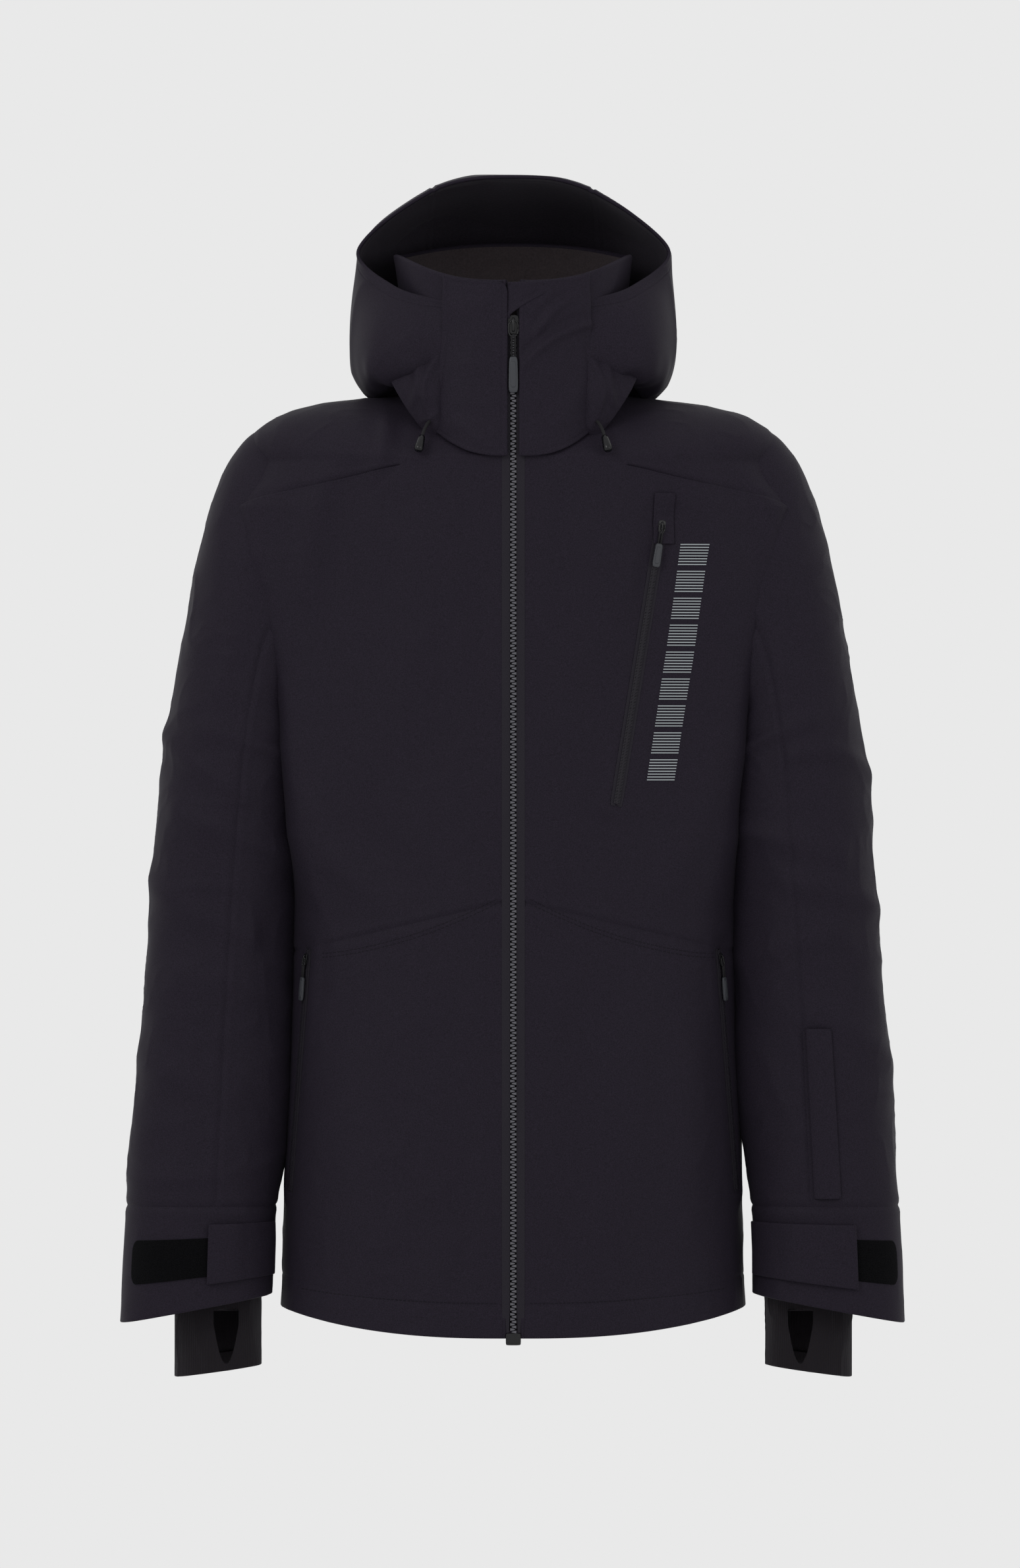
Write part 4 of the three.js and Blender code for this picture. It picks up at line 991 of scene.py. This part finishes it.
collarFolds = {
    1: [[9, 15, 66, 52, 4.2, 3.2, 7], [18, 40, 50, 74, 3.6, 2.4, 4], [30, -40, 60, 20, 8, 1.6, -4]],
    -1: [[-50, -30, -20, -52, 7, 1.6, 3], [-48, 60, -14, 66, 9, 0.8, 2]],
}
overlay = {1: {"top": 61.0, "foot": 66.0, "corner": 3.0}, -1: {"top": 56.0, "foot": 66.0, "corner": 9.0}}


# A flat cloth piece on the collar: each row runs from beside the zip, set back round a corner at the
# top, to its outer edge, and all four edges are turned under.
def buildOverlay(side):
    name = sideName[side]
    o = overlay[side]
    share, rise = spread((0, 1, 60), (0, 1, 110))
    tall, wide = 140.0, 50
    fromTop = (1 - rise) * tall
    bend = o["corner"]
    corner = bend - np.sqrt(np.maximum(bend**2 - np.maximum(bend - fromTop, 0) ** 2, 0))
    near = zipEdgeAt + 0.2 + corner
    far = o["top"] + (o["foot"] - o["top"]) * (1 - rise) ** 2.0
    x = near + (far - near) * share
    turn = collarSpot(np.maximum(x, cut["zipHalf"]), rise)
    points = collarSurface(turn, rise)
    points[..., 0] = x
    points = points * [side, 1, 1]
    normals = gridNormals(points, side)
    field = 4.6 + foldField(points[..., 0], points[..., 2], collarFolds[side])
    field = field + 0.5 * wrinkles(points, 22, (1, 1, 1.4), 2.0) + 0.8 * layeredNoise(points, 50, 2)
    edges = np.minimum(np.minimum(share * wide, (1 - share) * wide), np.minimum(rise, 1 - rise) * tall)
    field = field - 0.5 * np.exp(-(((edges - 3.2) / 0.8) ** 2))
    points = points + normals * field[..., None]
    gridPiece("CollarFront" + name.title(), hemmed(points, 2.2, 1.5, side), "shellCloth",
              nodes=["collar_front_" + name], flip=side < 0)


# The hood's second layer beside the neck: a patch between the collar and the lip, bulging forwards.
def buildNeckLayer(side):
    across, up = spread((0, 1, 70), (0, 1, 90))
    rise = np.linspace(0.03, 0.56, 90)[None, :] + 0 * across
    inner = collarSurface(collarSpot(np.full(across.shape, 57.0), rise), rise) + [0, -1.2, 0]
    low, middle, high = (np.array(p, float) for p in ([68, -84, -44], [90, -86, -22], [104, -72, 10]))
    u = up[..., None]
    outer = low * (1 - u) ** 2 + middle * (2 * u * (1 - u)) + high * u**2
    points = inner + (outer - inner) * across[..., None]
    points = points * [side, 1, 1]
    bulge = 8.0 * np.sin(np.pi * across**0.8) * np.sin(np.pi * np.clip(up, 0, 1)) ** 0.7
    crease = foldField(across * 60, up * 70, [[6, 66, 34, 22, 5, 2.4, 5], [26, 68, 50, 34, 5, 2.6, -4]])
    field = bulge + crease + 0.8 * wrinkles(points, 18, (1, 1, 1), 5.0)
    points = points + gridNormals(points, side) * field[..., None]
    grid = rollColumns(rollEdge(points, side, 2.0, 2.0), side, 2.0, 2.0)
    gridPiece("HoodNeckLayer" + sideName[side].title(), grid, "shellCloth", flip=side < 0)


# The flap over the top of the zip: a three-cornered fold whose lower edge climbs away from the zip.
def buildZipFlap():
    across, up = spread((0, 1, 50), (0, 1, 50))
    x = -4.5 + 31.0 * across
    foot = 57 + 20 * across**0.8
    z = foot + (84.6 - foot) * up
    rise = (z + 52) / 138
    points = collarSurface(collarSpot(np.maximum(np.abs(x), cut["zipHalf"]), rise), rise)
    points[..., 0], points[..., 2] = x, z
    normals = gridNormals(points)
    body = 3.4 + 2.6 * np.sin(np.pi * across) ** 0.6 * (0.4 + 0.6 * up) + 1.5 * np.exp(-((up / 0.16) ** 2))
    points = points + normals * (body + 0.4 * wrinkles(points, 12, (1, 1, 1), 1.0))[..., None]
    gridPiece("ZipTopFlap", hemmed(points, 2.0, 2.0), "shellCloth")


buildOverlay(1)
buildOverlay(-1)
buildNeckLayer(1)
buildNeckLayer(-1)
buildZipFlap()
print("collar overlays")

# Cuff fittings.

patchSpan = {1: (-118, -30, 9.30, 9.68), -1: (-118, -34, 9.30, 9.68)}
tabSpan = {1: (-165, -74, 9.17, 9.76), -1: (-165, -96, 9.17, 9.76)}


# A strap round the sleeve with rounded ends: rows run along it and narrow towards each rounded end.
def strap(side, span, lift, thick, ends, wave=0.0):
    begin, to, top, bottom = span
    share, across = spread((0, 1, 120), (-1, 1, 34))
    length, r, halfWidth = 150.0, 12.0, 21
    inset = np.minimum(share if ends[0] else 9, (1 - share) if ends[1] else 9) * length
    chord = np.sqrt(np.maximum(r * r - (r - np.minimum(inset, r)) ** 2, 0))
    narrow = np.where(inset < r, 1 - (r - chord) / halfWidth, 1)
    around = begin + (to - begin) * share
    level = (top + bottom) / 2 + (bottom - top) / 2 * across * narrow
    points = sleeveSurface(around, level) * [side, 1, 1]
    normals = gridNormals(points, -side)
    height = lift(around) if callable(lift) else lift + 0 * around
    bulge = wave * layeredNoise(points, 30, 2)
    return hemmed(points + normals * (height + thick + bulge)[..., None], thick, 1.2, -side)


# The loop patch lies on the sleeve, and the tab over it rises to clear it.
def buildCuffFittings(side):
    name = sideName[side]
    patch = strap(side, patchSpan[side], 0.3, 1.2, (False, True))
    gridPiece("CuffLoopPatch" + name.title(), patch, "loopPile",
              nodes=["cuff_loop_patch_" + name], flip=side > 0)
    lift = lambda around: 1.3 + 1.4 * smoothStep(-128, -112, around)
    tab = strap(side, tabSpan[side], lift, 2.0, (False, False), 0.7)
    gridPiece("CuffTab" + name.title(), tab, "shellCloth", "cuff_tab_" + name,
              ["cuff_tab_" + name], flip=side > 0)


# The inner cuff: a narrowing tube through four rings, gathered by noise, with a half-oval thumb hole cut out
# of its front and its edge drawn on to the hole's curve.
def buildInnerCuff(side):
    name = sideName[side]
    seat = np.array(blendRows(sleeveRings, np.array([9.25]))[0])
    middle = (seat[0] + seat[2]) / 2 - 15
    narrow = lambda z, lean: [middle - 36, z, middle + 36, z - lean, 31, seat[5]]
    seat[:5] += [3, 0, -3, 0, -3]
    rings = [seat, narrow(cuffZ + 38, 2), narrow(cuffZ + 10, 6), narrow(cuffZ - 36, 10)]
    around, row = spread((0, 360, 260), (0.3, 3, 130))
    points = section(blendRows(rings, row), around)
    normals = gridNormals(points, -1)
    gather = 1.3 * wrinkles(points, 15, (1, 1, 5), 1.0 + side) + 1.2 * layeredNoise(points, 40, 2)
    points = points + normals * (gather * smoothStep(360, 350, around) * smoothStep(0, 10, around))[..., None]
    points[-1] = points[0]
    uv = np.stack([around / 360 * 208, row * 30], -1)
    full = rollColumns(points, -1, 1.8, 12)
    extra = full.shape[1] - points.shape[1]
    uv = np.concatenate([uv, np.repeat(uv[:, -1:], extra, 1)], 1)
    full = full * [side, 1, 1]
    hx = full[..., 0] - side * (middle - 8)
    hz = full[..., 2] - (cuffZ - 10)
    reach = np.clip((hz + 25) / 34, 0, 1)
    half = 10.5 * np.sqrt(reach) * (hz < 20)
    inHole = (np.abs(hx) < half) & (full[..., 1] < seat[5])
    faces = gridFaces(*full.shape[:2])
    hit = inHole.ravel()[faces]
    faces = faces[~hit.all(1)]
    full[..., 0] = np.where(inHole, side * (middle - 8) + np.sign(hx) * half, full[..., 0])
    meshPiece("InnerCuff" + name.title(), full, faces, "cuffKnit",
              nodes=["inner_cuff_" + name], uv=uv, flip=side > 0)


for side in (1, -1):
    buildCuffFittings(side)
    buildInnerCuff(side)
print("cuffs")

# Linings.


# The linings: the body's and the sleeves' surfaces drawn in by an offset, the snow skirt with a sine gather,
# and the hanger loop as a flat band whose middle stands off the neck.
def buildLinings():
    turn, level = spread((0, 360, 240), (0.06, 7.9, 240))
    points = bodySurface(turn, level)
    field = -liningGap["body"] + 0.8 * wrinkles(points, 40, (1, 1, 1.5), 5.0)
    points = points + gridNormals(points) * field[..., None]
    gridPiece("BodyLining", points, "liningCloth",
              nodes=["body_lining", "chest_pocket_bag", "hand_pocket_bag_left", "hand_pocket_bag_right"],
              flip=True)
    turn, level = spread((0, 360, 300), (1.05, 1.6, 50))
    points = bodySurface(turn, level)
    gather = 1.2 * np.sin(np.radians(turn * 48)) * smoothStep(1.05, 1.3, level)
    points = points + gridNormals(points) * (gather - liningGap["skirt"])[..., None]
    gridPiece("SnowSkirt", points, "liningCloth", nodes=["snow_skirt"], flip=True)
    for side, name in sideName.items():
        around, level = spread((0, 360, 90), (3.6, 9.9, 160))
        points = sleeveSurface(around, level, -liningGap["sleeve"]) * [side, 1, 1]
        gridPiece("SleeveLining" + name.title(), points, "liningCloth",
                  nodes=["sleeve_lining_" + name], flip=side < 0)
    low, high = (np.array(corner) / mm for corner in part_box("hanger_loop"))
    x = np.linspace(low[0], high[0], 40)
    wall = high[1] - 0.8
    bow = (1 - smoothStep(8, 22, 30 - np.abs(x))) * (wall - low[1] - 1.0)
    y = low[1] + 0.8 + bow
    line = np.stack([x, y], -1)
    side = unit(np.stack([-np.gradient(y), np.gradient(x)], -1))
    rows = []
    for offset, z in ((0.7, low[2]), (0.7, high[2]), (-0.7, high[2]), (-0.7, low[2])):
        rows.append(np.column_stack([line + side * offset, np.full(len(x), z)]))
    ring = np.stack(rows)
    caps = np.concatenate([np.broadcast_to(ring[:, :1].mean(0, keepdims=True), (4, 1, 3)), ring,
                           np.broadcast_to(ring[:, -1:].mean(0, keepdims=True), (4, 1, 3))], 1)
    meshPiece("HangerLoop", caps, gridFaces(4, caps.shape[1], wrap=True), "zipTape", slot="lining_fabric",
              nodes=["hanger_loop"], smooth=False)


buildLinings()
print("linings")

# Zips.

lean = np.arctan(cut["lean"])
mainAxes = np.array([[1, 0, 0], [0, np.cos(lean), -np.sin(lean)], [0, np.sin(lean), np.cos(lean)]])
mainOrigin = np.array([0, -frontLine(50), 50.0])
mainBottom = -(50 + cut["length"] - 3)


# A tooth: a hexagon that narrows towards the other row, with a bevelled front.
def tooth(reach, root, half, deep):
    outline = np.array([[root, -half], [root, half], [root * 0.2, half * 0.8], [-reach, half * 0.34],
                        [-reach, -half * 0.34], [root * 0.2, -half * 0.8]])
    middle = outline.mean(0)
    layers = []
    for y, grow in ((-deep, 0.72), (-deep * 0.7, 1.0), (deep, 1.0)):
        flat = middle + (outline - middle) * grow
        layers.append(np.column_stack([flat[:, 0], np.full(6, y), flat[:, 1]]))
    points = np.concatenate(layers)
    sides = [[i + 6 * k, (i + 1) % 6 + 6 * k, (i + 1) % 6 + 6 * k + 6, i + 6 * k + 6]
             for k in range(2) for i in range(6)]
    caps = [[5, 2, 1, 0], [4, 3, 2, 5], [12, 13, 14, 17], [17, 14, 15, 16]]
    return points, np.array(sides + caps)


# Two facing rows of teeth, a pitch apart, the second row half a pitch higher.
def toothRows(shape, pitch, low, high):
    parts = []
    for side in (1, -1):
        z = np.arange(low + (pitch / 2 if side < 0 else 0), high, pitch)
        origins = np.column_stack([0 * z, 0 * z, z])
        axes = np.broadcast_to(np.diag([side, 1, 1]), (len(z), 3, 3))
        points, faces = copies(shape, origins, axes)
        parts.append((points, faces if side > 0 else faces[:, ::-1]))
    return parts


# A thin flat block from low to high.
def ribbon(xs, low, high, front, thick):
    x0, x1 = xs
    return roundBlock([x0, front, low], [x1, front + thick, high], 14, 5)


for side, name in sideName.items():
    rows = toothRows(tooth(1.3, 2.5, 1.15, 1.4), 4.2, mainBottom + 1, 6)
    own = rows[0] if side > 0 else rows[1]
    edges = sorted((side * 2.6, side * 9.6))
    cloth = ribbon(edges, mainBottom, 26, -0.3, 0.7)
    meshPiece("MainZipTape" + name.title(), *placed(cloth, mainOrigin, mainAxes), "zipTape", smooth=False)
    meshPiece("MainZipTeeth" + name.title(), *placed(own, mainOrigin, mainAxes), "toothGrey",
              nodes=["main_zip_" + name], smooth=False)
box = roundBlock([-6.3, -1.5, mainBottom - 10], [6.3, 2.4, mainBottom], 8)
rib = roundBlock([-4.5, -1.9, mainBottom - 8.5], [4.5, -1.0, mainBottom - 1.5], 6)
meshPiece("MainZipBox", *placed(merged([box, rib]), mainOrigin, mainAxes), "blackMetal",
          nodes=["main_zip_box"])


# A zip slider: two plates whose sides narrow towards the foot, a post and an arched bridge.
def sliderShape(half, near, thick, tall, rise):
    def plate(front):
        points, faces = roundBlock([-half, front, -tall / 2], [half, front + thick, tall / 2], 4.0, 9)
        points[:, 0] *= 0.74 + 0.26 * smoothStep(-tall / 2, tall / 5, points[:, 2])
        return points, faces
    t = np.linspace(0, np.pi, 16)
    arch = np.column_stack([0 * t, -near - thick - rise * np.sin(t) ** 0.7 + 0.3, tall * 0.34 * np.cos(t)])
    post = roundBlock([-0.35, -near - 0.2, tall / 8], [0.35, near + 0.2, tall / 2.4], 4, 4)
    flat = tube(arch, thick * 0.55, 10)
    flat[0][..., 0] *= 1.7
    return merged([plate(-near - thick), plate(near), post, flat])


# A wire loop along a superellipse.
def loopTube(half, top, bottom, radius):
    t = np.linspace(0, 2 * np.pi, 33)
    c, s = np.cos(t), np.sin(t)
    x = half * np.sign(c) * np.abs(c) ** 0.6
    z = (top + bottom) / 2 + (top - bottom) / 2 * np.sign(s) * np.abs(s) ** 0.8
    return tube(np.column_stack([x, 0 * t, z]), radius, 10)


# A moulded grip with a raised middle, and the doubled cord that joins it to the bail.
def pullParts(half, thick, top, bottom, cordHalf, strandTop):
    grip = roundBlock([-half, -thick / 2, bottom], [half, thick / 2, top], 5.5, 9)
    points = grip[0]
    points[:, 0] *= 0.9 + 0.1 * smoothStep(top, bottom, points[:, 2])
    raised = roundBlock([-half * 0.55, -thick / 2 - 0.45, bottom + (top - bottom) * 0.14],
                        [half * 0.55, -thick / 2 + 0.4, bottom + (top - bottom) * 0.86], 5, 7)
    t = np.linspace(0, np.pi, 12)
    arc = np.column_stack([cordHalf * np.cos(t), 0 * t, strandTop - cordHalf + 1.3 * cordHalf * np.sin(t)])
    foot = top - 1.5
    line = np.concatenate([[[cordHalf, 0, foot]], arc, [[-cordHalf, 0, foot]]])
    return merged([grip, raised]), tube(line, 0.85, 8)


# A pull: wire bail, cord loop and grip, all riding on one body.
def addPull(prefix, body, nodes, origin, axes, half, thick, top, bottom, cordHalf, strandTop, loop):
    grip, cordLoop = pullParts(half, thick, top, bottom, cordHalf, strandTop)
    meshPiece(prefix + "Bail", *placed(loopTube(*loop), origin, axes), "blackMetal", body,
              nodes[:1] if len(nodes) > 1 else ())
    meshPiece(prefix + "CordLoop", *placed(cordLoop, origin, axes), "cordBraid", body, slot="pull_rubber")
    meshPiece(prefix + "Grip", *placed(grip, origin, axes), "gripRubber", body, nodes[-1:])


meshPiece("MainSlider", *placed(sliderShape(5.0, 1.9, 1.2, 16, 2.4), mainOrigin, mainAxes), "blackMetal",
          "main_slider", ["main_slider"])
pullAt = mainOrigin + np.array([0, -4.05, 2.4]) @ mainAxes
addPull("MainPull", "main_pull", ["main_pull_bail", "main_pull_grip"], pullAt, mainAxes, 4.0, 3.2, -29, -59,
        1.5, -11.6, (4.0, 0.8, -12, 0.75))


# A pocket zip: tape, two rows of coil, slider and pull, in the frame of its line.
def addPocketZip(prefix, node, frameOf, sliderBody, pullBody):
    origin, axes, length = frameOf
    coil = merged(toothRows(tooth(1.0, 2.6, 0.5, 1.0), 1.25, -length - 2, 8))
    cloth = merged([ribbon(side, -length - 4, 9, 0.1, 0.5) for side in ((0.3, 5.5), (-5.5, -0.3))])
    meshPiece(prefix + "ZipTape", *placed(cloth, origin, axes), "zipTape", smooth=False)
    meshPiece(prefix + "ZipCoil", *placed(coil, origin, axes), "coilPlastic",
              nodes=[node + "_zip_tape"], smooth=False)
    slider = sliderShape(3.2, 1.4, 0.9, 10, 1.9 if pullBody else 0.5)
    meshPiece(prefix + "Slider", *placed(slider, origin, axes), "blackMetal", sliderBody, [node + "_slider"])
    if pullBody:
        at = origin + np.array([0, -3.1, 1.2]) @ axes
        addPull(prefix + "Pull", pullBody, [node + "_pull"], at, axes, 3.4, 2.4, -16, -36, 1.1, -6.4,
                (2.5, 0.6, -7, 0.6))


sleeveLine = [sleeveSurface(np.array([270.0]), np.array([level]))[0] for level in np.linspace(5, 9, 400)]
sleeveEnds = [min(sleeveLine, key=lambda p: abs(p[2] - z)) for z in (-547, -660)]
zipFrames["sleeve"] = lineFrame(sleeveEnds[0], sleeveEnds[1], np.array([0, -1.0, 0]))
addPocketZip("ChestPocket", "chest_pocket", zipFrames["chest"], "chest_slider", "chest_pull")
addPocketZip("HandPocketLeft", "hand_pocket_left", zipFrames["handLeft"], "hand_slider_left",
             "hand_pull_left")
addPocketZip("HandPocketRight", "hand_pocket_right", zipFrames["handRight"], "hand_slider_right",
             "hand_pull_right")
addPocketZip("SleevePocket", "sleeve_pocket", zipFrames["sleeve"], "sleeve_slider", None)
print("zips")

# Garage, print and cords.


# The cloth's point at a distance from the centre line and a height, lifted along the normal.
def frontPoint(x, z, lift, name="chest", side=1):
    turn, level = frontSpot(x, z)
    points = bodySurface(turn, level) * [side, 1, 1]
    normals = gridNormals(points, side)
    points = bodyShape(points, normals, turn, level, False)
    if name:
        points = settle(points, zipFrames[name])
    return points + normals * np.asarray(lift)[..., None]


# The hood of cloth over the top of the chest zip: a patch of the front, lifted in a Gaussian ridge.
def buildGarage():
    x, z = spread((118, 134, 30), (-131, -90, 40))
    lift = 1.5 + 1.2 * np.exp(-(((x - 126) / 6) ** 2))
    points = frontPoint(x, z, lift)
    gridPiece("ChestZipGarage", hemmed(points, 1.4, 1), "shellCloth", nodes=["chest_zip_garage"])


# The chest print: a column of nine equal blocks of thin level stripes that leans like the zip.
chestPrint = {"blocks": 9, "stripes": 8, "height": 19.0, "gap": 3.4, "half": 11.5, "stripeHalf": 0.42,
              "lift": 0.9, "top": -131, "topX": 151, "bottomX": 122}


# Each stripe is a narrow strip of the front's own surface, lifted clear of it.
def buildPrint():
    p = chestPrint
    pitch = p["height"] + p["gap"]
    whole = p["blocks"] * pitch
    block, stripe = np.meshgrid(np.arange(p["blocks"]), np.arange(p["stripes"]), indexing="ij")
    drop = (block * pitch + (stripe + 0.5) * p["height"] / p["stripes"]).ravel()
    center = p["topX"] + (p["bottomX"] - p["topX"]) * drop / whole
    across = np.linspace(-p["half"], p["half"], 16)
    x = center[:, None, None] + across[None, :, None] + np.zeros((1, 1, 3))
    z = p["top"] - drop[:, None, None] + p["stripeHalf"] * np.array([-1, 0, 1])[None, None, :] + 0 * x
    parts = [(frontPoint(x[i], z[i], np.full(x[i].shape, p["lift"])), gridFaces(16, 3))
             for i in range(len(drop))]
    meshPiece("ChestPrint", *merged(parts), "stripePrint")


# A Catmull-Rom curve through points, ending on the first and the last.
def curveThrough(points, count):
    p = np.asarray(points, float)
    ends = np.concatenate([2 * p[:1] - p[1:2], p, 2 * p[-1:] - p[-2:-1]])
    place = np.linspace(0, len(p) - 1, count)
    k = np.clip(np.floor(place).astype(int), 0, len(p) - 2)
    t = (place - k)[:, None]
    a, b, c, d = ends[k], ends[k + 1], ends[k + 2], ends[k + 3]
    return 0.5 * (2 * b + (c - a) * t + (2 * a - 5 * b + 4 * c - d) * t**2 + (3 * b - a - 3 * c + d) * t**3)


cordLine = [[65, -81.9, -25.6], [68, -88, -28], [71, -93, -31.5], [73, -96, -35], [74.5, -98.5, -38.5],
            [75.5, -100.5, -42]]


# A drawcord: a tube along the curve, running on into a barrel turned from rings along its end.
def buildCord(side):
    name = sideName[side]
    line = curveThrough(cordLine, 26)
    ahead = unit(line[-1] - line[-2])
    line = np.concatenate([line, line[-1] + ahead * np.linspace(1, 9, 9)[:, None]]) * [side, 1, 1]
    piece = meshPiece("HoodCord" + name.title(), *tube(line, 1.4, 12), "cordBraid",
                      nodes=["hood_cord_" + name])
    start = line[25] + unit(line[25] - line[24]) * 0.2
    along = unit(line[-1] - line[25])
    steps = np.array([0, 0.2, 1, 3, 7, 11, 13.4, 14.6, 15])
    radii = np.array([1.6, 2.2, 2.6, 3.0, 3.5, 3.8, 3.7, 3.0, 1.2])
    barrel = tube(start + along * steps[:, None], radii, 20)
    end = meshPiece("HoodCordEnd" + name.title(), *barrel, "barrelPlastic",
                    nodes=["hood_cord_end_" + name])


# A welt that hides the sleeve pocket's zip: a narrow cloth strip beside the under-arm seam.
def buildSleeveWelt():
    around, level = spread((263, 277, 24), (7.62, 8.92, 120))
    points = sleeveSurface(around, level)
    rounded = 1 - ((around - 270) / 7.5) ** 2
    points = points + gridNormals(points, -1) * (2.4 + 2.2 * rounded[..., None])
    gridPiece("SleevePocketWelt", hemmed(points, 2.0, 1, -1), "shellCloth", flip=True)


# Sewn lines on the front: short flat stitches set along the hem and above the slanted seam.
stitching = {"pitch": 3.4, "share": 0.66, "width": 0.55, "lift": 0.22,
             "lines": [[14, -762, 178, -752, 2], [14, -424, 168, -464, 1], [14, -427.5, 168, -467.5, 1]]}


# Each stitch is two quads on the front's surface, set along a line by an even pitch.
def buildStitches(side):
    t = stitching
    parts = []
    for x0, z0, x1, z1, power in t["lines"]:
        count = int(np.hypot(x1 - x0, z1 - z0) / t["pitch"])
        spots = np.arange(count)[:, None] + t["share"] * np.linspace(0, 1, 3)
        along = spots.reshape(-1, 1) / count
        x = x0 + (x1 - x0) * along + np.zeros((1, 2))
        z = z0 + (z1 - z0) * along**power + t["width"] * np.array([[-0.5, 0.5]])
        points = frontPoint(x, z, np.full(x.shape, t["lift"]), None, side)
        start = 6 * np.arange(count)[:, None, None]
        faces = (start + gridFaces(3, 2)[None]).reshape(-1, 4)
        parts.append((points.reshape(-1, 3), faces if side > 0 else faces[:, ::-1]))
    meshPiece("FrontStitches" + sideName[side].title(), *merged(parts), "stitchThread", smooth=False)


buildGarage()
buildStitches(1)
buildStitches(-1)
buildSleeveWelt()
buildPrint()
for side in (1, -1):
    buildCord(side)
print("garage, print and cords")
